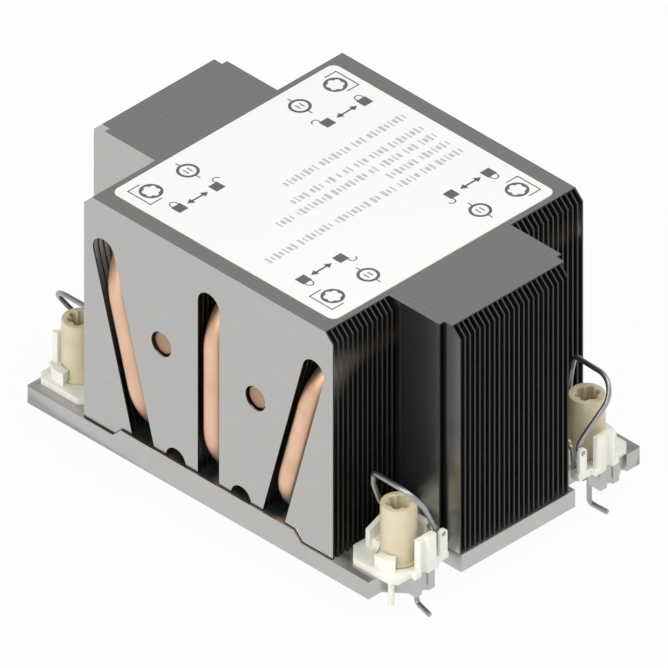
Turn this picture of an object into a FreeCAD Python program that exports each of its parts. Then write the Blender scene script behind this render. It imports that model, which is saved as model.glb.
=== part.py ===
import FreeCAD, Part
import math
import os
import Sketcher

# Passive heatsink for a server processor: an aluminium base plate, five U-shaped copper heat
# pipes, a stack of thin aluminium fins with a label on top, and at each corner a plastic
# retainer that carries a captive nut and a swinging anti-tilt wire.
#
# Frame: origin at the centre of the contact face under the base plate, +Z up, X along the fins
# (the way the air goes), Y across them. Millimetres. "Front" is the -Y side, "right" is +X.
# The corner parts are drawn once, at the right rear corner, and mirrored to the other three.

SIZES = {
    # Studs of the socket frame: everything at a corner is placed from their centres
    "stud_spacing_x": 97.8,
    "stud_spacing_y": 57.8,
    "stud_hole_radius": 2.0,
    # Base plate; each overhang and offset is measured from the stud centre
    "base_thickness": 4.5,
    "base_side_margin": 10.1,
    "plateau_rise": 2.4,
    "plateau_margin": 3.5,
    "tongue_overhang": 7.8,
    "tongue_gap": 2.5,
    "notch_overhang": 1.1,
    "tab_overhang": 7.6,
    "tab_inner_offset": 3.5,
    "tab_outer_offset": 2.3,
    "neck_overhang": 5.3,
    "short_corner_overhang": 0.8,
    "short_corner_offset": 6.1,
    "ear_overhang": 6.4,
    "ear_offset": 5.8,
    "ear_corner_cut": 0.3,
    # Fins
    "fin_top": 64.0,
    "fin_pitch": 1.5,
    "fin_thickness": 0.4,
    "fin_edge_margin": 0.5,
    "fin_end_setback": 0.5,
    "side_fin_gap": 0.8,
    "short_fin_overhang": 2.4,
    "side_fin_corner_cut": 2.4,
    "long_fin_corner_cut": 2.5,
    # Heat pipes
    "pipe_radius": 3.0,
    "pipe_clearance": 0.07,
    "riser_slot_clearance": 0.3,
    "riser_stand_out": 0.25,
    "pipe_spacing": 10.0,
    "pipe_end_recess": 1.2,
    "lower_leg_recess": 4.0,
    "pipe_end_round": 0.8,
    "front_pipe_rise": 46.0,
    "front_pipe_bend": 12.5,
    "outer_pipe_margin": 6.0,
    "rear_pipe_rise": 29.0,
    "rear_pipe_bend": 10.5,
    "rear_pipe_tilt": 8.8,
    # Label
    "label_side": 68.4,
    "label_corner_radius": 3.0,
    "label_thickness": 0.12,
    # Nuts
    "nut_radius": 4.1,
    "nut_bottom": 5.6,
    "nut_top": 20.65,
    "nut_flange_radius": 4.7,
    "nut_flange_height": 1.0,
    "nut_top_chamfer": 0.4,
    "nut_web": 1.0,
    "nut_running_clearance": 0.3,
    "stud_room_clearance": 0.6,
    "nut_lift_clearance": 0.15,
    "socket_core_radius": 2.0,
    "socket_lobe_radius": 0.72,
    "socket_lobe_distance": 2.08,
    "socket_depth": 5.5,
    # Retainers; offsets from the stud centre
    "floor_thickness": 1.7,
    "floor_inward": 9.9,
    "floor_outward": 6.1,
    "floor_to_tongue": 8.9,
    "floor_to_side": 7.5,
    "floor_inner_cut": 3.4,
    "floor_outer_cut": 1.5,
    "floor_tab_start": 4.9,
    "floor_tab_overhang": 7.5,
    "inner_wall_setback": 1.8,
    "inner_wall_thickness": 1.2,
    "inner_wall_start": 4.9,
    "inner_wall_end": 2.1,
    "inner_wall_low": 5.9,
    "inner_wall_high": 8.8,
    "rib_half_width": 1.2,
    "lip_height": 1.3,
    "block_start": 4.1,
    "block_end": 1.1,
    "block_thickness": 1.6,
    "block_height": 9.5,
    "channel_radius": 1.0,
    "channel_offset": 0.5,
    "arc_wall_thickness": 1.8,
    "arc_wall_height": 4.7,
    "arc_wall_first_angle": 52.0,
    "arc_wall_sweep": 48.0,
    "peg_radius": 0.75,
    "peg_clearance": 0.1,
    "peg_overhang": 3.5,
    "peg_offset": 5.8,
    "peg_depth": 2.0,
    "far_lug_thickness": 0.9,
    # Anti-tilt wires; offsets from the stud centre, reaches from the hinge axis
    "wire_radius": 0.6,
    "wire_running_fit": 0.05,
    "wire_clearance": 0.2,
    "wire_swing": 15.0,
    "knuckle_radius": 1.1,
    "hinge_inward": 7.5,
    "hinge_height": 7.0,
    "lower_leg_overhang": 3.1,
    "leg_spacing": 1.4,
    "inner_leg_gap": 1.1,
    "tight_bend": 0.8,
    "wire_bend": 1.2,
    "inner_leg_bend": 3.0,
    "shoulder_bend": 5.2,
    "outer_leg_start": 2.6,
    "outer_leg_spread": 3.8,
    "shoulder_reach": 17.5,
    "hoop_reach": 17.85,
    "hoop_angle": 57.5,
    "inner_corner_inset": 0.5,
    "inner_corner_drop": 3.1,
    "inner_corner_lag": 5.8,
    "inner_leg_reach": 9.8,
    "inner_leg_angle": 40.0,
    "jog_start": 7.1,
    "jog_offset": 0.5,
    "lower_leg_offset": 5.1,
    "jog_end": 9.3,
    "foot_depth": 17.2,
    "foot_length": 4.8,
    "foot_outward": 0.8,
    "foot_drop": 0.6,
    # How far a cutting tool runs past what it cuts
    "cutter_overrun": 1.0,
}

SOCKET_LOBES = 6
# Largest share by which a bent wire's volume may differ from its section times its length
WIRE_VOLUME_TOLERANCE = 0.02

CORNERS = ("right_rear", "right_front", "left_rear", "left_front")

document = FreeCAD.newDocument("heatsink")
sheet = document.addObject("Spreadsheet::Sheet", "Sizes")
for row, (alias, number) in enumerate(SIZES.items(), start=1):
    sheet.set(f"A{row}", alias)
    sheet.set(f"B{row}", str(number))
    sheet.setAlias(f"B{row}", alias)
document.recompute()


def size(expression):
    """Number that an expression on the sheet stands for."""
    return float(sheet.evalExpression(expression))


def bind(thing, prop, expression):
    """Tie a property of an object to an expression on the sheet."""
    thing.setExpression(prop, expression)


def cell(alias):
    """Expression for one cell of the sheet."""
    return f"Sizes.{alias}"


# Places that several parts share, as expressions on the sheet
STUD_X = f"({cell('stud_spacing_x')} / 2)"
STUD_Y = f"({cell('stud_spacing_y')} / 2)"
BASE_TOP = cell("base_thickness")
PLATEAU_TOP = f"({BASE_TOP} + {cell('plateau_rise')})"
PLATEAU_REACH = f"(2 * {cell('pipe_spacing')} + {cell('pipe_radius')} + {cell('plateau_margin')})"
PLATEAU_FOOT = f"({PLATEAU_REACH} + {cell('plateau_rise')})"
HALF_WIDTH = f"({STUD_Y} + {cell('base_side_margin')})"
FLOOR_TOP = f"({BASE_TOP} + {cell('floor_thickness')})"
FLOOR_START_X = f"({STUD_X} - {cell('floor_inward')})"
FLOOR_START_Y = f"({STUD_Y} - {cell('floor_to_tongue')})"
TONGUE_HALF = f"({FLOOR_START_Y} - {cell('tongue_gap')})"
TONGUE_REACH = f"({STUD_X} + {cell('tongue_overhang')})"
TAB_REACH = f"({STUD_X} + {cell('tab_overhang')})"
TAB_INNER = f"({STUD_Y} - {cell('tab_inner_offset')})"
TAB_OUTER = f"({STUD_Y} + {cell('tab_outer_offset')})"
LONG_REACH = f"({TONGUE_REACH} - {cell('fin_end_setback')})"
SHORT_REACH = f"({STUD_X} + {cell('short_fin_overhang')})"
SIDE_REACH = f"({FLOOR_START_X} - {cell('side_fin_gap')})"
HOLE_RADIUS = f"({cell('pipe_radius')} + {cell('pipe_clearance')})"
SLOT_RADIUS = f"({cell('pipe_radius')} + {cell('riser_slot_clearance')})"
RISER_INSET = f"({cell('pipe_radius')} - {cell('riser_stand_out')})"
OUTER_TILT = (f"asin(({SIDE_REACH} - {cell('outer_pipe_margin')} - 2 * {cell('pipe_spacing')})"
              f" / {cell('front_pipe_rise')})")
HINGE_Y = f"({STUD_Y} - {cell('hinge_inward')})"
HINGE_Z = f"({BASE_TOP} + {cell('hinge_height')})"
LEG_X = f"({STUD_X} + {cell('lower_leg_overhang')})"
INNER_LEG_X = (f"({STUD_X} - {cell('nut_radius')} - {cell('inner_leg_gap')}"
               f" - {cell('wire_radius')})")
OUTER_LEG_X = f"({LEG_X} + {cell('leg_spacing')})"
LUG_START = f"({OUTER_LEG_X} + {cell('tight_bend')} + {cell('wire_clearance')})"
LUG_END = f"({LUG_START} + {cell('far_lug_thickness')})"
WIRE_ROOM = f"({cell('wire_radius')} + {cell('wire_clearance')})"
LEG_SWUNG_Y = (f"({HINGE_Y} + {cell('lower_leg_offset')} / cos({cell('wire_swing')} * 1deg)"
               f" + {HINGE_Z} * tan({cell('wire_swing')} * 1deg))")
SLOT_END = f"({LEG_SWUNG_Y} + {WIRE_ROOM} / cos({cell('wire_swing')} * 1deg))"
CHANNEL_Y = f"({STUD_Y} - {cell('channel_offset')})"
OVERRUN = cell("cutter_overrun")
LIP_BOTTOM = (f"({cell('nut_bottom')} + {cell('nut_flange_height')}"
              f" + {cell('nut_lift_clearance')})")
PEG_X = f"({STUD_X} + {cell('peg_overhang')})"
PEG_Y = f"({STUD_Y} + {cell('peg_offset')})"


# Fins: how many fit on the base, and which kind each one is
fin_pitch = size(cell("fin_pitch"))
fin_thickness = size(cell("fin_thickness"))
room = 2 * (size(HALF_WIDTH) - size(cell("fin_edge_margin"))) - fin_thickness
fin_count = math.floor(room / fin_pitch) + 1
STACK_FRONT = f"(-({fin_count - 1} * {cell('fin_pitch')} + {cell('fin_thickness')}) / 2)"


def fin_front(index):
    """Expression for the front face of a fin, counted from the front."""
    return f"({STACK_FRONT} + {index} * {cell('fin_pitch')})"


def add_body(name):
    """PartDesign body with the given name."""
    return document.addObject("PartDesign::Body", name)


def add_sketch(body, name, plane, offset="0"):
    """Sketch on one of the body's origin planes, moved along its normal by an expression."""
    sketch = body.newObject("Sketcher::SketchObject", name)
    origin_planes = {face.Role: face for face in body.Origin.OriginFeatures}
    sketch.AttachmentSupport = [(origin_planes[plane], "")]
    sketch.MapMode = "FlatFace"
    if offset != "0":
        bind(sketch, "AttachmentOffset.Base.z", offset)
    return sketch


def place_point(sketch, geometry, end, x, y):
    """Hold one point of a sketch at coordinates given as expressions."""
    for kind, expression in (("DistanceX", x), ("DistanceY", y)):
        limit = Sketcher.Constraint(kind, -1, 1, geometry, end, size(expression))
        number = sketch.addConstraint(limit)
        bind(sketch, f"Constraints[{number}]", expression)


def draw_polygon(sketch, corners):
    """Closed polygon whose corners are pairs of expressions."""
    points = [FreeCAD.Vector(size(x), size(y), 0) for x, y in corners]
    first = sketch.GeometryCount
    count = len(points)
    for index, point in enumerate(points):
        sketch.addGeometry(Part.LineSegment(point, points[(index + 1) % count]))
    for index, (x, y) in enumerate(corners):
        following = first + (index + 1) % count
        sketch.addConstraint(Sketcher.Constraint("Coincident", first + index, 2, following, 1))
        place_point(sketch, first + index, 1, x, y)


def draw_rectangle(sketch, x_start, x_end, y_start, y_end):
    """Upright rectangle between four expressions."""
    corners = [(x_start, y_start), (x_end, y_start), (x_end, y_end), (x_start, y_end)]
    draw_polygon(sketch, corners)


def draw_circle(sketch, x, y, radius):
    """Circle whose centre and radius are expressions."""
    centre = FreeCAD.Vector(size(x), size(y), 0)
    shape = Part.Circle(centre, FreeCAD.Vector(0, 0, 1), size(radius))
    circle = sketch.addGeometry(shape)
    place_point(sketch, circle, 3, x, y)
    number = sketch.addConstraint(Sketcher.Constraint("Radius", circle, size(radius)))
    bind(sketch, f"Constraints[{number}]", radius)


def draw_slot(sketch, lower, upper, radius):
    """Slot with round ends between two centres, each a pair of expressions."""
    low = FreeCAD.Vector(size(lower[0]), size(lower[1]), 0)
    high = FreeCAD.Vector(size(upper[0]), size(upper[1]), 0)
    width = size(radius)
    heading = math.atan2(high.y - low.y, high.x - low.x)
    side = FreeCAD.Vector(-math.sin(heading), math.cos(heading), 0) * width
    up = FreeCAD.Vector(0, 0, 1)
    top = Part.ArcOfCircle(Part.Circle(high, up, width), heading - math.pi / 2,
                           heading + math.pi / 2)
    bottom = Part.ArcOfCircle(Part.Circle(low, up, width), heading + math.pi / 2,
                              heading + 3 * math.pi / 2)
    first = sketch.GeometryCount
    sketch.addGeometry([top, Part.LineSegment(high + side, low + side), bottom,
                        Part.LineSegment(low - side, high - side)])
    for index in range(4):
        following = first + (index + 1) % 4
        sketch.addConstraint(Sketcher.Constraint("Tangent", first + index, 2, following, 1))
    sketch.addConstraint(Sketcher.Constraint("Equal", first, first + 2))
    place_point(sketch, first, 3, *upper)
    place_point(sketch, first + 2, 3, *lower)
    number = sketch.addConstraint(Sketcher.Constraint("Radius", first, width))
    bind(sketch, f"Constraints[{number}]", radius)


def add_pad(body, sketch, length, reverse=False):
    """Pad of a sketch by a length given as an expression."""
    pad = body.newObject("PartDesign::Pad", f"{sketch.Name}_pad")
    pad.Profile = sketch
    pad.Reversed = reverse
    bind(pad, "Length", length)
    body.Tip = pad
    return pad


def add_cut_through(body, sketch):
    """Pocket of a sketch through the whole body, to both sides of its plane."""
    pocket = body.newObject("PartDesign::Pocket", f"{sketch.Name}_pocket")
    pocket.Profile = sketch
    pocket.Type = "ThroughAll"
    pocket.Midplane = True
    body.Tip = pocket
    return pocket


def add_box(name, x_start, x_end, y_start, y_end, z_start, z_end):
    """Box between six expressions."""
    box = document.addObject("Part::Box", name)
    bind(box, "Placement.Base.x", x_start)
    bind(box, "Placement.Base.y", y_start)
    bind(box, "Placement.Base.z", z_start)
    bind(box, "Length", f"{x_end} - {x_start}")
    bind(box, "Width", f"{y_end} - {y_start}")
    bind(box, "Height", f"{z_end} - {z_start}")
    return box


def add_post(name, x, y, radius, z_start, z_end):
    """Upright cylinder between two heights."""
    post = document.addObject("Part::Cylinder", name)
    bind(post, "Placement.Base.x", x)
    bind(post, "Placement.Base.y", y)
    bind(post, "Placement.Base.z", z_start)
    bind(post, "Radius", radius)
    bind(post, "Height", f"{z_end} - {z_start}")
    return post


def add_axle(name, radius, x_start, x_end):
    """Cylinder along the hinge axis of a wire."""
    axle = document.addObject("Part::Cylinder", name)
    axle.Placement = FreeCAD.Placement(FreeCAD.Vector(),
                                       FreeCAD.Rotation(FreeCAD.Vector(0, 1, 0), 90))
    bind(axle, "Placement.Base.x", x_start)
    bind(axle, "Placement.Base.y", HINGE_Y)
    bind(axle, "Placement.Base.z", HINGE_Z)
    bind(axle, "Radius", radius)
    bind(axle, "Height", f"{x_end} - {x_start}")
    return axle


def add_union(name, pieces):
    """Fuse of several objects."""
    union = document.addObject("Part::MultiFuse", name)
    union.Shapes = pieces
    return union


def add_difference(name, solid, tool):
    """Cut of one object by another."""
    difference = document.addObject("Part::Cut", name)
    difference.Base = solid
    difference.Tool = tool
    return difference


def add_group(name, pieces):
    """Compound of objects that stay separate solids."""
    group = document.addObject("Part::Compound", name)
    group.Links = pieces
    return group


def corner_set(kind, first):
    """Four corner parts: the one at the right rear and its mirror images."""
    mirrored_from = {"right_front": ("right_rear", (0, 1, 0)),
                     "left_rear": ("right_rear", (1, 0, 0)),
                     "left_front": ("left_rear", (0, 1, 0))}
    made = {"right_rear": first}
    first.Label = f"{kind}_right_rear"
    for corner in CORNERS[1:]:
        source, normal = mirrored_from[corner]
        copy = document.addObject("Part::Mirroring", f"{kind}_{corner}")
        copy.Source = made[source]
        copy.Base = FreeCAD.Vector(0, 0, 0)
        copy.Normal = FreeCAD.Vector(*normal)
        made[corner] = copy
    return list(made.values())


# --- Heat pipes -------------------------------------------------------------------------------

def add_heat_pipe(name, lower_x, rise, bend, tilt, side):
    """U-shaped pipe: its lower leg in the plateau, its riser on the given side (-1 is the front).

    The path is drawn upright in the body's YZ plane, and the body leans about its lower leg.
    """
    body = add_body(name)
    path = add_sketch(body, f"{name}_path", "YZ_Plane")
    face = f"({side} * -1 * {STACK_FRONT})"
    riser = f"({face} - {side} * {RISER_INSET})"
    turn = f"({riser} - {side} * {bend})"
    upper_end = f"(-1 * {face} + {side} * {cell('pipe_end_recess')})"
    lower_end = f"(-1 * {face} + {side} * {cell('lower_leg_recess')})"
    middle = [FreeCAD.Vector(size(turn), size(height), 0) for height in (bend, f"{rise} - {bend}")]
    radius = size(bend)
    up = FreeCAD.Vector(0, 0, 1)
    start = FreeCAD.Vector(size(lower_end), 0, 0)
    end = FreeCAD.Vector(size(upper_end), size(rise), 0)
    quarter = math.pi / 2
    if side < 0:
        arcs = [(math.pi, 3 * quarter), (quarter, math.pi)]
    else:
        arcs = [(3 * quarter, 4 * quarter), (0, quarter)]
    corners = [Part.ArcOfCircle(Part.Circle(centre, up, radius), *angles)
               for centre, angles in zip(middle, arcs)]
    inner, outer = (2, 1) if side < 0 else (1, 2)
    lower_line = Part.LineSegment(start, FreeCAD.Vector(size(turn), 0, 0))
    riser_line = Part.LineSegment(FreeCAD.Vector(size(riser), radius, 0),
                                  FreeCAD.Vector(size(riser), size(rise) - radius, 0))
    upper_line = Part.LineSegment(FreeCAD.Vector(size(turn), size(rise), 0), end)
    path.addGeometry([lower_line, corners[0], riser_line, corners[1], upper_line])
    joints = ((0, 2, 1, inner), (1, outer, 2, 1), (2, 2, 3, inner), (3, outer, 4, 1))
    for joint in joints:
        path.addConstraint(Sketcher.Constraint("Tangent", *joint))
    path.addConstraint(Sketcher.Constraint("Equal", 1, 3))
    place_point(path, 0, 1, lower_end, "0")
    place_point(path, 1, 3, turn, bend)
    place_point(path, 4, 2, upper_end, rise)
    number = path.addConstraint(Sketcher.Constraint("Radius", 1, radius))
    bind(path, f"Constraints[{number}]", bend)

    section = add_sketch(body, f"{name}_section", "XZ_Plane", f"-1 * {lower_end}")
    draw_circle(section, "0", "0", cell("pipe_radius"))
    pipe = body.newObject("PartDesign::AdditivePipe", f"{name}_sweep")
    pipe.Profile = section
    pipe.Spine = (path, [])
    body.Tip = pipe
    document.recompute()

    ends = [f"Edge{number}" for number, edge in enumerate(pipe.Shape.Edges, start=1)
            if len(edge.Vertexes) == 1
            and min(abs(edge.BoundBox.YMin - size(stop)) + edge.BoundBox.YLength
                    for stop in (upper_end, lower_end)) < 0.001]
    rounding = body.newObject("PartDesign::Fillet", f"{name}_ends")
    rounding.Base = (pipe, ends)
    bind(rounding, "Radius", cell("pipe_end_round"))
    body.Tip = rounding

    body.Placement = FreeCAD.Placement(FreeCAD.Vector(),
                                       FreeCAD.Rotation(FreeCAD.Vector(0, 1, 0), 0))
    bind(body, "Placement.Base.x", lower_x)
    bind(body, "Placement.Base.z", PLATEAU_TOP)
    bind(body, "Placement.Rotation.Angle", tilt)
    return body


def add_heat_pipes():
    """Three tall pipes that rise at the front and two low ones that rise at the rear."""
    spacing = cell("pipe_spacing")
    rise = cell("front_pipe_rise")
    bend = cell("front_pipe_bend")
    low_rise = cell("rear_pipe_rise")
    low_bend = cell("rear_pipe_bend")
    low_tilt = f"{cell('rear_pipe_tilt')} * 1deg"
    return [
        add_heat_pipe("heat_pipe_left", f"-2 * {spacing}", rise, bend, f"-1 * {OUTER_TILT}", -1),
        add_heat_pipe("heat_pipe_middle", "0", rise, bend, "0", -1),
        add_heat_pipe("heat_pipe_right", f"2 * {spacing}", rise, bend, OUTER_TILT, -1),
        add_heat_pipe("low_heat_pipe_left", f"-1 * {spacing}", low_rise, low_bend,
                      f"-1 * {low_tilt}", 1),
        add_heat_pipe("low_heat_pipe_right", spacing, low_rise, low_bend, low_tilt, 1),
    ]


# --- Base plate -------------------------------------------------------------------------------

def corner_outline(right, rear, with_ear):
    """Outline of one corner of the base plate, from the tongue to the long side."""
    slot_inner = f"({LEG_X} - {WIRE_ROOM})"
    slot_outer = f"({LEG_X} + {WIRE_ROOM})"
    notch = f"({STUD_X} + {cell('notch_overhang')})"
    neck = f"({STUD_X} + {cell('neck_overhang')})"
    corners = [(TONGUE_REACH, TONGUE_HALF), (notch, TONGUE_HALF), (notch, TAB_INNER),
               (slot_inner, TAB_INNER), (slot_inner, SLOT_END), (slot_outer, SLOT_END),
               (slot_outer, TAB_INNER), (TAB_REACH, TAB_INNER), (TAB_REACH, TAB_OUTER),
               (neck, TAB_OUTER)]
    if with_ear:
        ear = f"({STUD_X} + {cell('ear_overhang')})"
        ear_start = f"({STUD_Y} + {cell('ear_offset')})"
        cut = cell("ear_corner_cut")
        corners += [(neck, ear_start), (ear, ear_start), (ear, f"({HALF_WIDTH} - {cut})"),
                    (f"({ear} - {cut})", HALF_WIDTH)]
    else:
        short = f"({STUD_X} + {cell('short_corner_overhang')})"
        corners += [(short, f"({STUD_Y} + {cell('short_corner_offset')})"), (short, HALF_WIDTH)]
    placed = [(f"{right} * {x}", f"{rear} * {y}") for x, y in corners]
    return placed if right * rear > 0 else placed[::-1]


def add_base_plate(pipes):
    """Plate with the raised middle that the pipes lie in."""
    body = add_body("base_blank")
    outline = add_sketch(body, "base_outline", "XY_Plane")
    draw_polygon(outline, corner_outline(1, 1, True) + corner_outline(-1, 1, False)
                 + corner_outline(-1, -1, True) + corner_outline(1, -1, False))
    add_pad(body, outline, BASE_TOP)

    plateau = add_sketch(body, "plateau_outline", "XZ_Plane", f"-1 * {HALF_WIDTH}")
    draw_polygon(plateau, [(f"-1 * {PLATEAU_FOOT}", BASE_TOP), (PLATEAU_FOOT, BASE_TOP),
                           (PLATEAU_REACH, PLATEAU_TOP), (f"-1 * {PLATEAU_REACH}", PLATEAU_TOP)])
    add_pad(body, plateau, f"2 * {HALF_WIDTH}")

    holes = add_sketch(body, "base_holes", "XY_Plane")
    for right in (1, -1):
        for rear in (1, -1):
            draw_circle(holes, f"{right} * {STUD_X}", f"{rear} * {STUD_Y}",
                        cell("stud_hole_radius"))
            draw_circle(holes, f"{right} * {TAB_REACH}", f"{rear} * {CHANNEL_Y}",
                        cell("channel_radius"))
            draw_circle(holes, f"{right} * {PEG_X}", f"{rear} * {PEG_Y}",
                        f"{cell('peg_radius')} + {cell('peg_clearance')}")
    add_cut_through(body, holes)
    return add_difference("base_plate", body, add_union("pipe_seats", pipes))


# --- Fins -------------------------------------------------------------------------------------

def add_fin(name, reach, corner_cut, front_slots, rear_slots, with_flange=True):
    """Fin sheet with its front face on Y = 0 and a flange on top that spans the pitch."""
    body = add_body(name)
    top = cell("fin_top")
    half = [(PLATEAU_REACH, PLATEAU_TOP), (PLATEAU_FOOT, BASE_TOP), (reach, BASE_TOP)]
    flange_reach = reach
    if corner_cut:
        flange_reach = f"({reach} - {corner_cut})"
        half += [(reach, f"({top} - {corner_cut})")]
    half += [(flange_reach, top)]
    sheet_outline = add_sketch(body, f"{name}_outline", "XZ_Plane")
    draw_polygon(sheet_outline, half + [(f"-1 * {x}", z) for x, z in reversed(half)])
    add_pad(body, sheet_outline, cell("fin_thickness"), reverse=True)

    if with_flange:
        strips = add_sketch(body, f"{name}_flanges", "XZ_Plane")
        draw_rectangle(strips, f"-1 * {flange_reach}", flange_reach,
                       f"{top} - {cell('fin_thickness')}", top)
        draw_rectangle(strips, f"-1 * {PLATEAU_REACH}", PLATEAU_REACH, PLATEAU_TOP,
                       f"{PLATEAU_TOP} + {cell('fin_thickness')}")
        add_pad(body, strips, cell("fin_pitch"), reverse=True)

    spacing = cell("pipe_spacing")
    rise = cell("front_pipe_rise")
    low_rise = cell("rear_pipe_rise")
    low_tilt = f"{cell('rear_pipe_tilt')} * 1deg"
    tall = [(f"{sign} * 2 * {spacing}",
             f"{sign} * (2 * {spacing} + {rise} * sin({OUTER_TILT}))",
             f"{PLATEAU_TOP} + {rise} * cos({OUTER_TILT})") for sign in (-1, 1)]
    tall.append(("0", "0", f"{PLATEAU_TOP} + {rise}"))
    low = [(f"{sign} * {spacing}", f"{sign} * ({spacing} + {low_rise} * sin({low_tilt}))",
            f"{PLATEAU_TOP} + {low_rise} * cos({low_tilt})") for sign in (-1, 1)]
    openings = add_sketch(body, f"{name}_openings", "XZ_Plane")
    for legs, slotted in ((tall, front_slots), (low, rear_slots)):
        for lower_x, upper_x, upper_z in legs:
            if slotted:
                draw_slot(openings, (lower_x, PLATEAU_TOP), (upper_x, upper_z), SLOT_RADIUS)
            else:
                draw_circle(openings, lower_x, PLATEAU_TOP, HOLE_RADIUS)
                draw_circle(openings, upper_x, upper_z, HOLE_RADIUS)
    add_cut_through(body, openings)
    return body


def place_fin(name, master, index):
    """Copy of a master fin at its place in the stack."""
    fin = add_group(name, [master])
    bind(fin, "Placement.Base.y", fin_front(index))
    return fin


def add_fins():
    """The whole stack, front to rear, as the list of the nodes that it makes."""
    side_cut = cell("side_fin_corner_cut")
    slotted_front = add_fin("master_front_slotted_fin", SIDE_REACH, side_cut, True, False)
    slotted_rear = add_fin("master_rear_slotted_fin", SIDE_REACH, side_cut, False, True)
    last = add_fin("master_last_fin", SIDE_REACH, side_cut, False, True, with_flange=False)
    side = add_fin("master_side_fin", SIDE_REACH, side_cut, False, False)
    short = add_fin("master_short_fin", SHORT_REACH, None, False, False)
    long = add_fin("master_long_fin", LONG_REACH, cell("long_fin_corner_cut"), False, False)

    fronts = [size(fin_front(index)) for index in range(fin_count)]
    tongue = size(TONGUE_HALF)
    on_tongue = [index for index, front in enumerate(fronts)
                 if -tongue <= front and front + fin_pitch <= tongue]
    beside_tongue = (on_tongue[0] - 1, on_tongue[-1] + 1)
    bend_start = -fronts[0] - size(RISER_INSET)
    front_bend = bend_start - size(cell("front_pipe_bend"))
    rear_bend = bend_start - size(cell("rear_pipe_bend"))

    nodes = []
    front_group = []
    rear_group = []
    for index, front in enumerate(fronts):
        number = f"{index + 1:02d}"
        if front + fin_thickness / 2 < -front_bend:
            front_group.append(place_fin(f"slotted_fin_{number}", slotted_front, index))
        elif front + fin_thickness / 2 > rear_bend:
            master = last if index == fin_count - 1 else slotted_rear
            rear_group.append(place_fin(f"slotted_fin_{number}", master, index))
        elif index in on_tongue:
            nodes.append(place_fin(f"long_fin_{number}", long, index))
        elif index in beside_tongue:
            nodes.append(place_fin(f"short_fin_{number}", short, index))
        else:
            nodes.append(place_fin(f"side_fin_{number}", side, index))
    nodes.append(add_group("front_slotted_fins", front_group))
    nodes.append(add_group("rear_slotted_fins", rear_group))
    return nodes


# --- Label ------------------------------------------------------------------------------------

def add_label():
    """Square label with round corners on the top of the fins."""
    body = add_body("top_label")
    half = f"({cell('label_side')} / 2)"
    outline = add_sketch(body, "label_outline", "XY_Plane", cell("fin_top"))
    draw_rectangle(outline, f"-1 * {half}", half, f"-1 * {half}", half)
    pad = add_pad(body, outline, cell("label_thickness"))
    document.recompute()
    upright = [f"Edge{number}" for number, edge in enumerate(pad.Shape.Edges, start=1)
               if abs(edge.tangentAt(edge.FirstParameter).z) > 0.5]
    rounding = body.newObject("PartDesign::Fillet", "label_corners")
    rounding.Base = (pad, upright)
    bind(rounding, "Radius", cell("label_corner_radius"))
    body.Tip = rounding
    return body


# --- Nuts -------------------------------------------------------------------------------------

def add_nut():
    """Captive nut: a flanged round body, threaded from below, with a six-lobe socket on top."""
    body = add_body("nut_blank")
    profile = add_sketch(body, "nut_profile", "XZ_Plane")
    bottom = cell("nut_bottom")
    top = cell("nut_top")
    bore = cell("stud_hole_radius")
    flange_top = f"({bottom} + {cell('nut_flange_height')})"
    chamfer = cell("nut_top_chamfer")
    bore_end = f"({top} - {cell('socket_depth')} - {cell('nut_web')})"
    draw_polygon(profile, [(bore, bottom), (cell("nut_flange_radius"), bottom),
                           (cell("nut_flange_radius"), flange_top),
                           (cell("nut_radius"), flange_top),
                           (cell("nut_radius"), f"({top} - {chamfer})"),
                           (f"({cell('nut_radius')} - {chamfer})", top),
                           ("0", top), ("0", bore_end), (bore, bore_end)])
    turned = body.newObject("PartDesign::Revolution", "nut_turned")
    turned.Profile = profile
    turned.ReferenceAxis = (profile, ["V_Axis"])
    turned.Angle = 360
    body.Tip = turned
    bind(body, "Placement.Base.x", STUD_X)
    bind(body, "Placement.Base.y", STUD_Y)

    socket_floor = f"({top} - {cell('socket_depth')})"
    socket = [add_post("socket_core", STUD_X, STUD_Y, cell("socket_core_radius"), socket_floor,
                       f"({top} + {OVERRUN})")]
    for lobe in range(SOCKET_LOBES):
        turn = f"({lobe} * 360 deg / {SOCKET_LOBES})"
        distance = cell("socket_lobe_distance")
        socket.append(add_post(f"socket_lobe_{lobe + 1}", f"{STUD_X} + {distance} * cos({turn})",
                               f"{STUD_Y} + {distance} * sin({turn})",
                               cell("socket_lobe_radius"), socket_floor, f"({top} + {OVERRUN})"))
    return add_difference("nut_right_rear", body, add_union("socket", socket))


# --- Retainers --------------------------------------------------------------------------------

def add_floor():
    """Eight-sided floor of a retainer, with its tongue over the tab of the base plate."""
    body = add_body("retainer_floor")
    outline = add_sketch(body, "retainer_outline", "XY_Plane", BASE_TOP)
    inner_cut = cell("floor_inner_cut")
    outer_cut = cell("floor_outer_cut")
    outward = f"({STUD_X} + {cell('floor_outward')})"
    side = f"({STUD_Y} + {cell('floor_to_side')})"
    tab_start = f"({STUD_Y} - {cell('floor_tab_start')})"
    tab_end = f"({STUD_X} + {cell('floor_tab_overhang')})"
    draw_polygon(outline, [(f"({FLOOR_START_X} + {inner_cut})", FLOOR_START_Y),
                           (LUG_END, FLOOR_START_Y), (LUG_END, tab_start),
                           (tab_end, tab_start), (tab_end, TAB_OUTER), (outward, TAB_OUTER),
                           (outward, f"({side} - {outer_cut})"),
                           (f"({outward} - {outer_cut})", side),
                           (f"({FLOOR_START_X} + {inner_cut})", side),
                           (FLOOR_START_X, f"({side} - {inner_cut})"),
                           (FLOOR_START_X, f"({FLOOR_START_Y} + {inner_cut})")])
    add_pad(body, outline, cell("floor_thickness"))
    return body


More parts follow.
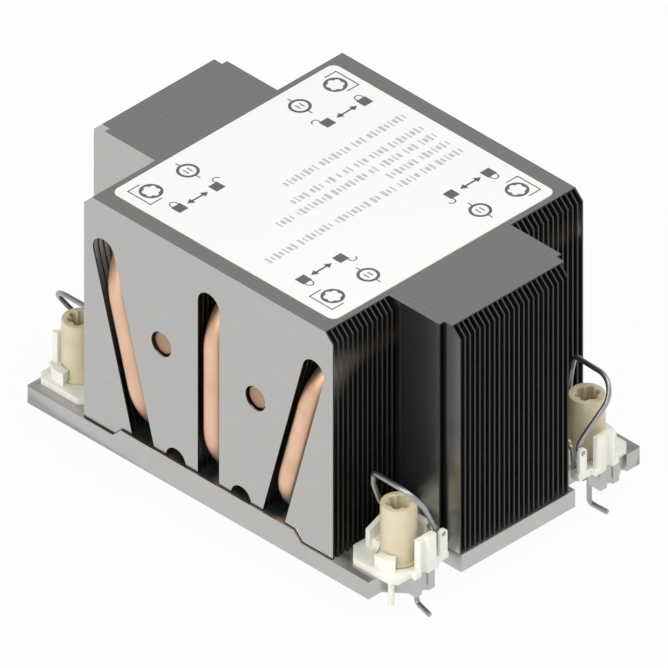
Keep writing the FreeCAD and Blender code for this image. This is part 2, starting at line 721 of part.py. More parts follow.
def add_inner_wall():
    """Wall on the fin side of the nut, with a top that falls towards the long side."""
    body = add_body("inner_wall")
    start = f"({FLOOR_START_X} + {cell('inner_wall_setback')})"
    outline = add_sketch(body, "inner_wall_outline", "YZ_Plane", start)
    near = f"({STUD_Y} - {cell('inner_wall_start')})"
    far = f"({STUD_Y} + {cell('inner_wall_end')})"
    draw_polygon(outline, [(near, BASE_TOP), (far, BASE_TOP),
                           (far, f"({BASE_TOP} + {cell('inner_wall_low')})"),
                           (near, f"({BASE_TOP} + {cell('inner_wall_high')})")])
    add_pad(body, outline, cell("inner_wall_thickness"))
    return body


def add_arc_wall():
    """Low curved wall round the outer side of the nut."""
    radius = f"({cell('nut_flange_radius')} + {cell('arc_wall_thickness')})"
    wall = add_post("arc_wall", STUD_X, STUD_Y, radius, BASE_TOP,
                    f"({BASE_TOP} + {cell('arc_wall_height')})")
    wall.Placement.Rotation = FreeCAD.Rotation(FreeCAD.Vector(0, 0, 1), 0)
    bind(wall, "Placement.Rotation.Angle", f"{cell('arc_wall_first_angle')} * 1deg")
    bind(wall, "Angle", f"{cell('arc_wall_sweep')} * 1deg")
    return wall


def add_retainer():
    """Plastic retainer: floor, bearings of the wire, and lips that hold the nut's flange."""
    wall_start = f"({INNER_LEG_X} + {cell('wire_bend')} + {cell('wire_clearance')})"
    wall_end = f"({LEG_X} - {cell('wire_bend')} - {cell('wire_clearance')})"
    knuckle = cell("knuckle_radius")
    near = f"({HINGE_Y} - {knuckle})"
    far = f"({HINGE_Y} + {knuckle})"
    inner_face = (f"({FLOOR_START_X} + {cell('inner_wall_setback')}"
                  f" + {cell('inner_wall_thickness')})")
    lip_top = f"({LIP_BOTTOM} + {cell('lip_height')})"
    block_end = f"({STUD_X} + {cell('floor_tab_overhang')})"
    solids = [
        add_floor(),
        add_inner_wall(),
        add_arc_wall(),
        add_box("bearing_wall", wall_start, wall_end, near, far, BASE_TOP, HINGE_Z),
        add_axle("bearing_round", knuckle, wall_start, wall_end),
        add_box("far_lug", LUG_START, LUG_END, near, far, BASE_TOP, HINGE_Z),
        add_axle("far_lug_round", knuckle, LUG_START, LUG_END),
        add_box("nut_rib", inner_face, f"({STUD_X} - {cell('nut_radius')})",
                f"({STUD_Y} - {cell('rib_half_width')})",
                f"({STUD_Y} + {cell('rib_half_width')})", BASE_TOP, lip_top),
        add_box("outer_block", f"({block_end} - {cell('block_thickness')})", block_end,
                f"({STUD_Y} - {cell('block_start')})", f"({STUD_Y} + {cell('block_end')})",
                BASE_TOP, f"({BASE_TOP} + {cell('block_height')})"),
        add_post("peg", PEG_X, PEG_Y, cell("peg_radius"), f"(-1 * {cell('peg_depth')})",
                 FLOOR_TOP),
    ]
    nut_room = f"({cell('nut_radius')} + {cell('nut_running_clearance')})"
    flange_room = f"({cell('nut_flange_radius')} + {cell('nut_running_clearance')})"
    well_floor = f"({cell('nut_bottom')} - {cell('nut_running_clearance')})"
    tools = [
        add_post("nut_room", STUD_X, STUD_Y, nut_room, well_floor, cell("nut_top")),
        add_post("flange_room", STUD_X, STUD_Y, flange_room, well_floor, LIP_BOTTOM),
        add_post("stud_room", STUD_X, STUD_Y,
                 f"({cell('stud_hole_radius')} + {cell('stud_room_clearance')})", "0",
                 cell("nut_top")),
        add_box("leg_slot", f"({LEG_X} - {WIRE_ROOM})", f"({LEG_X} + {WIRE_ROOM})",
                f"({FLOOR_START_Y} - {OVERRUN})", SLOT_END, "0", FLOOR_TOP),
        add_axle("wire_bore", f"({cell('wire_radius')} + {cell('wire_running_fit')})",
                 f"({wall_start} - {OVERRUN})", f"({LUG_END} + {OVERRUN})"),
        add_post("channel", block_end, CHANNEL_Y, cell("channel_radius"), "0",
                 cell("nut_top")),
    ]
    return add_difference("retainer_right_rear", add_union("retainer_solids", solids),
                          add_union("retainer_tools", tools))


# --- Anti-tilt wires --------------------------------------------------------------------------

def bent_rod(points, bends, radius):
    """Round rod along straight runs joined by tangent arcs, one bend radius per inner point."""
    edges = []
    start = points[0]
    for before, corner, after, bend in zip(points, points[1:], points[2:], bends):
        back = (before - corner).normalize()
        ahead = (after - corner).normalize()
        half_turn = (math.pi - back.getAngle(ahead)) / 2
        reach = bend * math.tan(half_turn)
        first = corner + back * reach
        last = corner + ahead * reach
        inward = (back + ahead).normalize()
        middle = corner + inward * (bend / math.cos(half_turn) - bend)
        edges.append(Part.LineSegment(start, first).toShape())
        edges.append(Part.Arc(first, middle, last).toShape())
        start = last
    edges.append(Part.LineSegment(start, points[-1]).toShape())
    path = Part.Wire(edges)
    direction = points[1] - points[0]
    section = Part.Wire(Part.Circle(points[0], direction, radius).toShape())
    rod = path.makePipeShell([section], True, True)
    expected = math.pi * radius ** 2 * path.Length
    if abs(rod.Volume - expected) > WIRE_VOLUME_TOLERANCE * expected:
        raise ValueError("the bent wire does not have the volume of its length")
    return rod


def from_hinge(x, reach, angle):
    """Point of a wire at a distance from the hinge axis, at an angle above level outward."""
    turn = math.radians(angle)
    return FreeCAD.Vector(x, size(HINGE_Y) + reach * math.cos(turn),
                          size(HINGE_Z) + reach * math.sin(turn))


def below_hinge(x, outward, depth):
    """Point of a wire under the hinge axis."""
    return FreeCAD.Vector(x, size(HINGE_Y) + outward, size(HINGE_Z) - depth)


def add_wire():
    """Wire bent into a hoop above its hinge axis and a foot under the base plate."""
    values = {alias: size(cell(alias)) for alias in SIZES}
    outer_x = size(OUTER_LEG_X)
    inner_x = size(INNER_LEG_X)
    leg_x = size(LEG_X)
    pin_end = size(LUG_END)
    spread_x = outer_x + values["outer_leg_spread"]
    angle = values["hoop_angle"]
    inner_angle = values["inner_leg_angle"]
    foot_x = leg_x + values["foot_length"]
    foot_outward = values["lower_leg_offset"] + values["foot_outward"]
    points = [
        from_hinge(pin_end, 0, angle),
        from_hinge(outer_x, 0, angle),
        from_hinge(outer_x, values["outer_leg_start"], angle),
        from_hinge(spread_x, values["shoulder_reach"], angle),
        from_hinge(inner_x, values["hoop_reach"], angle),
        from_hinge(inner_x - values["inner_corner_inset"],
                   values["hoop_reach"] - values["inner_corner_drop"],
                   angle - values["inner_corner_lag"]),
        from_hinge(inner_x, values["inner_leg_reach"], inner_angle),
        from_hinge(inner_x, 0, angle),
        from_hinge(leg_x, 0, angle),
        below_hinge(leg_x, values["jog_offset"], values["jog_start"]),
        below_hinge(leg_x, values["lower_leg_offset"], values["jog_end"]),
        below_hinge(leg_x, values["lower_leg_offset"], values["foot_depth"]),
        below_hinge(foot_x, foot_outward, values["foot_depth"] + values["foot_drop"]),
    ]
    tight = values["tight_bend"]
    bend = values["wire_bend"]
    shoulder = values["shoulder_bend"]
    inner = values["inner_leg_bend"]
    bends = [tight, bend, shoulder, bend, inner, inner, bend, bend, bend, bend, bend]
    wire = document.addObject("Part::Feature", "anti_tilt_wire_right_rear")
    wire.Shape = bent_rod(points, bends, values["wire_radius"])
    return wire


# --- Assembly ---------------------------------------------------------------------------------

def check_and_export(nodes):
    """Stop on any failed object, then write one STEP file for each node."""
    document.recompute()
    failed = [thing.Name for thing in document.Objects
              if "Invalid" in thing.State or "Error" in thing.State]
    if failed:
        raise RuntimeError(f"failed objects: {failed}")
    for node in nodes:
        if node.Shape.isNull() or not node.Shape.isValid() or not node.Shape.Solids:
            raise RuntimeError(f"bad shape: {node.Label}")
    os.makedirs("parts", exist_ok=True)
    for node in nodes:
        node.Shape.exportStep(os.path.join("parts", f"{node.Label}.step"))


heat_pipes = add_heat_pipes()
nodes = [add_base_plate(heat_pipes), add_label()]
nodes += heat_pipes
nodes += add_fins()
nodes += corner_set("nut", add_nut())
nodes += corner_set("retainer", add_retainer())
nodes += corner_set("anti_tilt_wire", add_wire())
check_and_export(nodes)
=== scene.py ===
"""Looks of a passive heatsink for a server processor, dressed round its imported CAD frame."""

import logging
import math
from dataclasses import dataclass, field
from enum import Enum

import bmesh
import bpy
from mathutils import Matrix, Vector


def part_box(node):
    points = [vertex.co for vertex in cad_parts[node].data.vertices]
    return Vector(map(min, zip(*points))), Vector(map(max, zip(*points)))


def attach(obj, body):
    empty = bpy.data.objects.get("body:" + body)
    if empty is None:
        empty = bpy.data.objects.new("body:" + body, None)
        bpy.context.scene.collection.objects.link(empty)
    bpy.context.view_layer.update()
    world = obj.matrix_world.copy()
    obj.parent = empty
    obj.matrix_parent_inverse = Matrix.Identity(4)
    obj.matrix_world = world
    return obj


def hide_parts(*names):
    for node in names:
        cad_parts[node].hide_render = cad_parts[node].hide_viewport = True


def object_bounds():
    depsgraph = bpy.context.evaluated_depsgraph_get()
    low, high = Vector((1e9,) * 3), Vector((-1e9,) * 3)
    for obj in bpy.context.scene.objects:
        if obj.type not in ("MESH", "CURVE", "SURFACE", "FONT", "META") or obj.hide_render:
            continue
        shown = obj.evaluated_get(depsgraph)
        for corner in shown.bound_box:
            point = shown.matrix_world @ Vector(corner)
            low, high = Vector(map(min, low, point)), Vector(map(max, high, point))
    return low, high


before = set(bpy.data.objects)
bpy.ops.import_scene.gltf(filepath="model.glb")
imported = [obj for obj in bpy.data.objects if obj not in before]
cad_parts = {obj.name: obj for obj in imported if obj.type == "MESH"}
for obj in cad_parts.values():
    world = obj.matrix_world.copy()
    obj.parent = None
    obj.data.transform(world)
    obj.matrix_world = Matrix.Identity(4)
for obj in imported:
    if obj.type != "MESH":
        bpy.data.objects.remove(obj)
CAD_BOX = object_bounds()

log = logging.getLogger("heatsink")
MM = 0.001
WELD = 0.001                         # mm, distance at which points are merged
CAD_WELD = 0.002                     # mm, the same for the loose triangles of a CAD node
FLAT_ANGLE = 1.0                     # degrees, below which CAD triangles join into one face
CRISP_ANGLE = 50.0                   # degrees, above which an edge is rounded
ROUNDING_FACES = 2                   # faces across a rounding


# --- Colours, nodes and meshes ------------------------------------------------------------------

def linear(code: str) -> tuple[float, float, float, float]:
    """Turn an sRGB hex colour into linear red, green, blue and alpha.

    Args:
        code: six hex digits after a hash sign.

    Returns:
        The colour in linear light, with an alpha of 1.
    """
    parts = [int(code[start:start + 2], 16) / 255 for start in (1, 3, 5)]
    light = [part / 12.92 if part <= 0.04045 else ((part + 0.055) / 1.055) ** 2.4
             for part in parts]
    return (*light, 1.0)


def add_node(tree: bpy.types.NodeTree, kind: str, inputs: dict[str | int, object] | None = None,
             **settings: object) -> bpy.types.Node:
    """Add a node with its settings, and fill or link its sockets.

    Args:
        tree: node tree that gets the node.
        kind: type name of the node.
        inputs: for each input's name or number, a value or the output socket that feeds it.
        settings: attributes of the node.

    Returns:
        The new node.
    """
    node = tree.nodes.new(kind)
    for name, value in settings.items():
        setattr(node, name, value)
    for name, value in (inputs or {}).items():
        if isinstance(value, bpy.types.NodeSocket):
            tree.links.new(value, node.inputs[name])
        else:
            node.inputs[name].default_value = value
    return node


def new_material(name: str) -> tuple[bpy.types.Material, bpy.types.NodeTree]:
    """Make an empty node material.

    Args:
        name: name of the material.

    Returns:
        The material and its cleared node tree.
    """
    material = bpy.data.materials.new(name)
    material.use_nodes = True
    material.node_tree.nodes.clear()
    return material, material.node_tree


def object_point(tree: bpy.types.NodeTree, scale: tuple[float, float, float] = (1, 1, 1)
                 ) -> bpy.types.NodeSocket:
    """Position on the object in millimetres, stretched by a scale.

    Args:
        tree: node tree of the material.
        scale: factor along each axis, on top of the turn to millimetres.

    Returns:
        The vector output to feed a texture with.
    """
    place = add_node(tree, "ShaderNodeTexCoord")
    factors = tuple(factor / MM for factor in scale)
    return add_node(tree, "ShaderNodeMapping", {"Vector": place.outputs["Object"],
                                                "Scale": factors}).outputs["Vector"]


def finish_piece(name: str, mesh: bmesh.types.BMesh, body: str,
                 material: bpy.types.Material, nodes: tuple[str, ...] = (),
                 sharp: float = 35.0) -> None:
    """Make a finished piece from a mesh in metres, and hand it to the frame.

    Args:
        name: name of the piece.
        mesh: its shape, already in place. It is freed.
        body: CAD body that it rides on.
        material: its material.
        nodes: CAD nodes that it stands in for.
        sharp: angle in degrees above which an edge stays crisp.
    """
    data = bpy.data.meshes.new(name)
    for face in mesh.faces:
        face.smooth = True
    mesh.to_mesh(data)
    mesh.free()
    data.set_sharp_from_angle(angle=math.radians(sharp))
    data.materials.append(material)
    piece = bpy.data.objects.new(name, data)
    bpy.context.scene.collection.objects.link(piece)
    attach(piece, body)
    if nodes:
        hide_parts(*nodes)
    log.info("%s: %d faces on %s", name, len(data.polygons), body)


def merged_copy(node: str) -> bmesh.types.BMesh:
    """Copy the shape of a CAD node, with its loose triangles joined into whole faces.

    Args:
        node: name of the CAD node.

    Returns:
        A mesh in metres, in the node's place.
    """
    mesh = bmesh.new()
    mesh.from_mesh(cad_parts[node].data)
    bmesh.ops.remove_doubles(mesh, verts=mesh.verts, dist=CAD_WELD * MM)
    bmesh.ops.dissolve_limit(mesh, angle_limit=math.radians(FLAT_ANGLE), verts=mesh.verts,
                             edges=mesh.edges, delimit=set())
    return mesh


def round_edges(mesh: bmesh.types.BMesh, width: float) -> None:
    """Round the crisp edges of a mesh.

    Args:
        mesh: shape in metres.
        width: width of the rounding in millimetres.
    """
    crisp = [edge for edge in mesh.edges if len(edge.link_faces) == 2
             and edge.calc_face_angle() > math.radians(CRISP_ANGLE)]
    bmesh.ops.bevel(mesh, geom=crisp, offset=width * MM, offset_type="OFFSET",
                    segments=ROUNDING_FACES, profile=0.5, affect="EDGES", material=-1,
                    clamp_overlap=True)


# --- Finishes -----------------------------------------------------------------------------------

@dataclass(frozen=True)
class StampedAluminium:
    """Aluminium sheet, rolled, stamped and folded: a soft satin with faint rolling lines.

    The faces mirror the room dimly, and the folds of neighbouring sheets meet in a hairline. The
    edges of the sheets are rougher, and their dark colour is painted shade for the gaps between
    the sheets.
    """

    name: str = "stamped_aluminium_sheet"
    face: str = "#B9B8B6"
    # painted shade: the edge faces of the sheets are coloured dark for the shade in the gaps
    # between them
    edge: str = "#4E4E4D"
    seam: str = "#A3A2A0"
    roughness: float = 0.26
    edge_roughness: float = 0.5
    rolling_line: float = 0.25       # mm between rolling lines, coarser than the real 0.05
    pitch: float = 1.5               # mm from sheet to sheet
    seam_width: float = 0.07         # mm, drawn about twice as wide as it is
    edge_normal: tuple[float, float] = (0.45, 0.65)     # X of the normal, face to edge
    top_normal: tuple[float, float] = (0.9, 0.95)       # Z of the normal, slope to top
    tones: tuple[float, float] = (0.97, 1.03)           # darkest and lightest line

    def build(self, stack_front: float) -> bpy.types.Material:
        """Build the material.

        Args:
            stack_front: Y of the front face of the first sheet, in millimetres.

        Returns:
            The material of the fins.
        """
        material, tree = new_material(self.name)
        place = add_node(tree, "ShaderNodeTexCoord")
        normal = add_node(tree, "ShaderNodeSeparateXYZ", {0: place.outputs["Normal"]})
        sideways = add_node(tree, "ShaderNodeMath", {0: normal.outputs["X"]},
                            operation="ABSOLUTE")
        sheared_and_shaded = add_node(tree, "ShaderNodeMapRange",
                           {"Value": sideways.outputs[0], "From Min": self.edge_normal[0],
                            "From Max": self.edge_normal[1]})
        upward = add_node(tree, "ShaderNodeMapRange",
                          {"Value": normal.outputs["Z"], "From Min": self.top_normal[0],
                           "From Max": self.top_normal[1]})
        point = add_node(tree, "ShaderNodeSeparateXYZ", {0: object_point(tree)})
        along = add_node(tree, "ShaderNodeMath", {0: point.outputs["Y"], 1: stack_front},
                         operation="SUBTRACT")
        fold = add_node(tree, "ShaderNodeMath", {0: along.outputs[0], 1: self.pitch},
                        operation="FLOORED_MODULO")
        near = add_node(tree, "ShaderNodeMath", {0: fold.outputs[0], 1: self.seam_width},
                        operation="LESS_THAN")
        meeting = add_node(tree, "ShaderNodeMath",
                           {0: near.outputs[0], 1: upward.outputs["Result"]},
                           operation="MULTIPLY")
        lines = add_node(tree, "ShaderNodeTexNoise",
                         {"Vector": object_point(tree, (0.02, 1.0, 1.0)),
                          "Scale": 1 / self.rolling_line, "Detail": 2.0})
        tone = add_node(tree, "ShaderNodeMapRange",
                        {"Value": lines.outputs["Fac"], "From Min": 0.3, "From Max": 0.7,
                         "To Min": self.tones[0], "To Max": self.tones[1]})
        sheet = add_node(tree, "ShaderNodeMix", {"Factor": meeting.outputs[0],
                                                 6: linear(self.face), 7: linear(self.seam)},
                         data_type="RGBA")
        toned = add_node(tree, "ShaderNodeVectorMath",
                         {0: sheet.outputs[2], "Scale": tone.outputs["Result"]},
                         operation="SCALE")
        # painted shade: faces that turn towards the edge take the dark edge colour; their
        # roughness rises as well
        colour = add_node(tree, "ShaderNodeMix",
                          {"Factor": sheared_and_shaded.outputs["Result"], 6: toned.outputs[0],
                           7: linear(self.edge)}, data_type="RGBA")
        rough = add_node(tree, "ShaderNodeMapRange",
                         {"Value": sheared_and_shaded.outputs["Result"], "To Min": self.roughness,
                          "To Max": self.edge_roughness})
        bump = add_node(tree, "ShaderNodeBump",
                        {"Height": lines.outputs["Fac"], "Strength": 0.04,
                         "Distance": 0.02 * MM})
        shader = add_node(tree, "ShaderNodeBsdfPrincipled",
                          {"Base Color": colour.outputs[2], "Roughness": rough.outputs["Result"],
                           "Metallic": 1.0, "Normal": bump.outputs["Normal"]})
        add_node(tree, "ShaderNodeOutputMaterial", {"Surface": shader.outputs[0]})
        return material


@dataclass(frozen=True)
class MilledAluminium:
    """Aluminium plate, milled and deburred: fine swirls of the cutter under a satin blast."""

    name: str = "milled_aluminium_plate"
    colour: str = "#BEBCBA"
    roughness: float = 0.3
    swirl: float = 0.6               # mm between passes of the cutter
    grit: float = 0.15               # mm, blasting marks drawn coarser than they are
    mottle: float = 0.12             # patches of slightly different tone to a mm
    swirl_share: float = 0.35        # height of the swirls next to the blasting marks
    tones: tuple[float, float] = (0.96, 1.03)           # darkest and lightest patch

    def build(self) -> bpy.types.Material:
        """Build the material of the base plate.

        Returns:
            The finished material.
        """
        material, tree = new_material(self.name)
        place = object_point(tree)
        swirls = add_node(tree, "ShaderNodeTexWave",
                          {"Vector": place, "Scale": 1 / self.swirl, "Distortion": 1.5,
                           "Detail": 2.0, "Detail Scale": 0.4}, wave_type="RINGS",
                          rings_direction="Z")
        grains = add_node(tree, "ShaderNodeTexNoise",
                          {"Vector": place, "Scale": 1 / self.grit, "Detail": 2.0})
        patches = add_node(tree, "ShaderNodeTexNoise",
                           {"Vector": place, "Scale": self.mottle, "Detail": 3.0})
        tone = add_node(tree, "ShaderNodeMapRange",
                        {"Value": patches.outputs["Fac"], "From Min": 0.3, "From Max": 0.7,
                         "To Min": self.tones[0], "To Max": self.tones[1]})
        colour = add_node(tree, "ShaderNodeVectorMath",
                          {0: linear(self.colour)[:3], "Scale": tone.outputs["Result"]},
                          operation="SCALE")
        rough = add_node(tree, "ShaderNodeMapRange",
                         {"Value": grains.outputs["Fac"], "To Min": self.roughness - 0.05,
                          "To Max": self.roughness + 0.08})
        height = add_node(tree, "ShaderNodeMath",
                          {0: swirls.outputs["Fac"], 1: self.swirl_share,
                           2: grains.outputs["Fac"]},
                          operation="MULTIPLY_ADD")
        bump = add_node(tree, "ShaderNodeBump", {"Height": height.outputs[0], "Strength": 0.06,
                                                 "Distance": 0.03 * MM})
        shader = add_node(tree, "ShaderNodeBsdfPrincipled",
                          {"Base Color": colour.outputs[0], "Roughness": rough.outputs["Result"],
                           "Metallic": 1.0, "Normal": bump.outputs["Normal"]})
        add_node(tree, "ShaderNodeOutputMaterial", {"Surface": shader.outputs[0]})
        return material


@dataclass(frozen=True)
class DrawnCopper:
    """Copper tube, drawn and cleaned: warm and satin, with drawing lines and faint tarnish.

    Inside its slots its colour carries painted shade, duller and darker than where it stands
    proud of them, and low down in the slots the painted shade deepens to a dark brown. The sealed
    ends are dull too.
    """

    name: str = "drawn_copper_tube"
    bright: str = "#ECC9AF"
    tarnished: str = "#DDB498"
    sealed: str = "#B7987F"
    # painted shade: the colour of the copper deep inside its slots
    slot_shade: str = "#D0A98B"
    # painted shade: the dark brown low down in the slots
    slot_bottom_shade: str = "#7A655A"
    roughness: float = 0.5
    sealed_roughness: float = 0.6
    patch: float = 9.0               # mm across a tarnished patch
    scratch: float = 0.3             # mm between drawing lines
    end_reach: float = 38.2          # mm from the middle that the sealed ends stay within
    slot_mouth: float = 38.8         # mm from the middle at which the painted shade in the slots starts
    slot_depth: float = 1.5          # mm over which the painted shade becomes complete
    bottom_shade_level: float = 17.0         # mm above the contact face that the deeper painted shade reaches
    bottom_shade_fade: float = 7.0           # mm over which the deeper painted shade fades out
    end_normal: tuple[float, float] = (0.97, 0.99)      # Y of the normal, side to end
    line_stretch: float = 0.06       # scale of the drawing lines along the pipe

    def build(self) -> bpy.types.Material:
        """Build the material of the heat pipes.

        Returns:
            The finished material.
        """
        material, tree = new_material(self.name)
        patches = add_node(tree, "ShaderNodeTexNoise",
                           {"Vector": object_point(tree), "Scale": 1 / self.patch,
                            "Detail": 4.0, "Roughness": 0.6})
        tarnish = add_node(tree, "ShaderNodeMapRange",
                           {"Value": patches.outputs["Fac"], "From Min": 0.45,
                            "From Max": 0.75})
        colour = add_node(tree, "ShaderNodeMix", {"Factor": tarnish.outputs["Result"],
                                                  6: linear(self.bright),
                                                  7: linear(self.tarnished)},
                          data_type="RGBA")
        place = add_node(tree, "ShaderNodeTexCoord")
        normal = add_node(tree, "ShaderNodeSeparateXYZ", {0: place.outputs["Normal"]})
        endwise = add_node(tree, "ShaderNodeMath", {0: normal.outputs["Y"]},
                           operation="ABSOLUTE")
        point = add_node(tree, "ShaderNodeSeparateXYZ", {0: object_point(tree)})
        depth = add_node(tree, "ShaderNodeMath", {0: point.outputs["Y"]}, operation="ABSOLUTE")
        flat = add_node(tree, "ShaderNodeMapRange",
                        {"Value": endwise.outputs[0], "From Min": self.end_normal[0],
                         "From Max": self.end_normal[1]})
        inside = add_node(tree, "ShaderNodeMath", {0: depth.outputs[0], 1: self.end_reach},
                          operation="LESS_THAN")
        end = add_node(tree, "ShaderNodeMath", {0: flat.outputs["Result"],
                                                1: inside.outputs[0]}, operation="MULTIPLY")
        # painted shade: the copper darkens the further it lies inside its slot
        slot_shade_depth = add_node(tree, "ShaderNodeMapRange",
                            {"Value": depth.outputs[0], "From Min": self.slot_mouth,
                             "From Max": self.slot_mouth - self.slot_depth})
        slot_shaded = add_node(tree, "ShaderNodeMix", {"Factor": slot_shade_depth.outputs["Result"],
                                                  6: colour.outputs[2],
                                                  7: linear(self.slot_shade)}, data_type="RGBA")
        # painted shade: low down inside the slots the shade deepens to a dark brown
        low = add_node(tree, "ShaderNodeMapRange",
                       {"Value": point.outputs["Z"], "From Min": self.bottom_shade_level,
                        "From Max": self.bottom_shade_level - self.bottom_shade_fade})
        bottom_shade_mask = add_node(tree, "ShaderNodeMath", {0: slot_shade_depth.outputs["Result"],
                                                 1: low.outputs["Result"]},
                        operation="MULTIPLY")
        slot_bottom_shade = add_node(tree, "ShaderNodeMix", {"Factor": bottom_shade_mask.outputs[0],
                                                  6: slot_shaded.outputs[2],
                                                  7: linear(self.slot_bottom_shade)}, data_type="RGBA")
        browned = add_node(tree, "ShaderNodeMix", {"Factor": end.outputs[0],
                                                   6: slot_bottom_shade.outputs[2],
                                                   7: linear(self.sealed)}, data_type="RGBA")
        lines = add_node(tree, "ShaderNodeTexNoise",
                         {"Vector": object_point(tree, (1.0, self.line_stretch,
                                                        self.line_stretch)),
                          "Scale": 1 / self.scratch, "Detail": 2.0})
        rough = add_node(tree, "ShaderNodeMapRange",
                         {"Value": lines.outputs["Fac"], "To Min": self.roughness - 0.04,
                          "To Max": self.roughness + 0.08})
        duller = add_node(tree, "ShaderNodeMix",
                          {"Factor": end.outputs[0], 2: rough.outputs["Result"],
                           3: self.sealed_roughness}, data_type="FLOAT")
        bump = add_node(tree, "ShaderNodeBump", {"Height": lines.outputs["Fac"],
                                                 "Strength": 0.03, "Distance": 0.01 * MM})
        shader = add_node(tree, "ShaderNodeBsdfPrincipled",
                          {"Base Color": browned.outputs[2], "Roughness": duller.outputs[0],
                           "Metallic": 1.0, "Normal": bump.outputs["Normal"]})
        add_node(tree, "ShaderNodeOutputMaterial", {"Surface": shader.outputs[0]})
        return material


@dataclass(frozen=True)
class MouldedPlastic:
    """Injection-moulded plastic: an even colour with slight flow marks and a fine spark grain."""

    name: str
    colour: str
    flow: str
    roughness: float
    grain: float = 0.12              # mm across a pit of the tool's spark grain
    flow_mark: float = 5.0           # mm across a flow mark

    def build(self) -> bpy.types.Material:
        """Build the material of a moulded part.

        Returns:
            The finished material.
        """
        material, tree = new_material(self.name)
        place = object_point(tree)
        marks = add_node(tree, "ShaderNodeTexNoise",
                         {"Vector": place, "Scale": 1 / self.flow_mark, "Detail": 3.0})
        flow = add_node(tree, "ShaderNodeMapRange",
                        {"Value": marks.outputs["Fac"], "From Min": 0.4, "From Max": 0.75})
        colour = add_node(tree, "ShaderNodeMix", {"Factor": flow.outputs["Result"],
                                                  6: linear(self.colour), 7: linear(self.flow)},
                          data_type="RGBA")
        grains = add_node(tree, "ShaderNodeTexNoise",
                          {"Vector": place, "Scale": 1 / self.grain, "Detail": 1.0})
        rough = add_node(tree, "ShaderNodeMapRange",
                         {"Value": grains.outputs["Fac"], "To Min": self.roughness - 0.06,
                          "To Max": self.roughness + 0.06})
        bump = add_node(tree, "ShaderNodeBump", {"Height": grains.outputs["Fac"],
                                                 "Strength": 0.08, "Distance": 0.02 * MM})
        shader = add_node(tree, "ShaderNodeBsdfPrincipled",
                          {"Base Color": colour.outputs[2], "Roughness": rough.outputs["Result"],
                           "IOR": 1.5, "Normal": bump.outputs["Normal"]})
        add_node(tree, "ShaderNodeOutputMaterial", {"Surface": shader.outputs[0]})
        return material


@dataclass(frozen=True)
class SpringSteel:
    """Nickel-plated spring wire: a grey satin, with fine lines from the bending tool."""

    name: str = "nickel_plated_spring_wire"
    colour: str = "#A8A9A8"
    roughness: float = 0.34
    line: float = 0.15               # mm between tool marks
    tones: tuple[float, float] = (0.92, 1.04)           # darkest and lightest mark

    def build(self) -> bpy.types.Material:
        """Build the material of the anti-tilt wires.

        Returns:
            The finished material.
        """
        material, tree = new_material(self.name)
        marks = add_node(tree, "ShaderNodeTexNoise",
                         {"Vector": object_point(tree), "Scale": 1 / self.line, "Detail": 2.0})
        tone = add_node(tree, "ShaderNodeMapRange",
                        {"Value": marks.outputs["Fac"], "From Min": 0.3, "From Max": 0.7,
                         "To Min": self.tones[0], "To Max": self.tones[1]})
        colour = add_node(tree, "ShaderNodeVectorMath",
                          {0: linear(self.colour)[:3], "Scale": tone.outputs["Result"]},
                          operation="SCALE")
        rough = add_node(tree, "ShaderNodeMapRange",
                         {"Value": marks.outputs["Fac"], "To Min": self.roughness - 0.05,
                          "To Max": self.roughness + 0.1})
        shader = add_node(tree, "ShaderNodeBsdfPrincipled",
                          {"Base Color": colour.outputs[0], "Roughness": rough.outputs["Result"],
                           "Metallic": 1.0})
        add_node(tree, "ShaderNodeOutputMaterial", {"Surface": shader.outputs[0]})
        return material


@dataclass(frozen=True)
class ShadowLineFinish:
    """A nearly black, slightly lumpy bead with paler grey lumps, that paints the shadow line at
    the foot of the sheets.
    """

    name: str = "painted_shadow_line_bead"
    # painted shadow: nearly black, for the dark line at the foot of the sheets
    colour: str = "#1C1B1A"
    metal: str = "#5C5A57"
    roughness: float = 0.6
    lump: float = 0.7                # mm across a lump

    def build(self) -> bpy.types.Material:
        """Build the material of the beads that paint the shadow line.

        Returns:
            The finished material.
        """
        material, tree = new_material(self.name)
        lumps = add_node(tree, "ShaderNodeTexNoise",
                         {"Vector": object_point(tree), "Scale": 1 / self.lump,
                          "Detail": 3.0})
        paler_lumps = add_node(tree, "ShaderNodeMapRange",
                        {"Value": lumps.outputs["Fac"], "From Min": 0.55, "From Max": 0.8})
        colour = add_node(tree, "ShaderNodeMix", {"Factor": paler_lumps.outputs["Result"],
                                                  6: linear(self.colour),
                                                  7: linear(self.metal)}, data_type="RGBA")
        bump = add_node(tree, "ShaderNodeBump", {"Height": lumps.outputs["Fac"],
                                                 "Strength": 0.2, "Distance": 0.05 * MM})
        shader = add_node(tree, "ShaderNodeBsdfPrincipled",
                          {"Base Color": colour.outputs[2], "Roughness": self.roughness,
                           "Specular IOR Level": 0.3, "Normal": bump.outputs["Normal"]})
        add_node(tree, "ShaderNodeOutputMaterial", {"Surface": shader.outputs[0]})
        return material


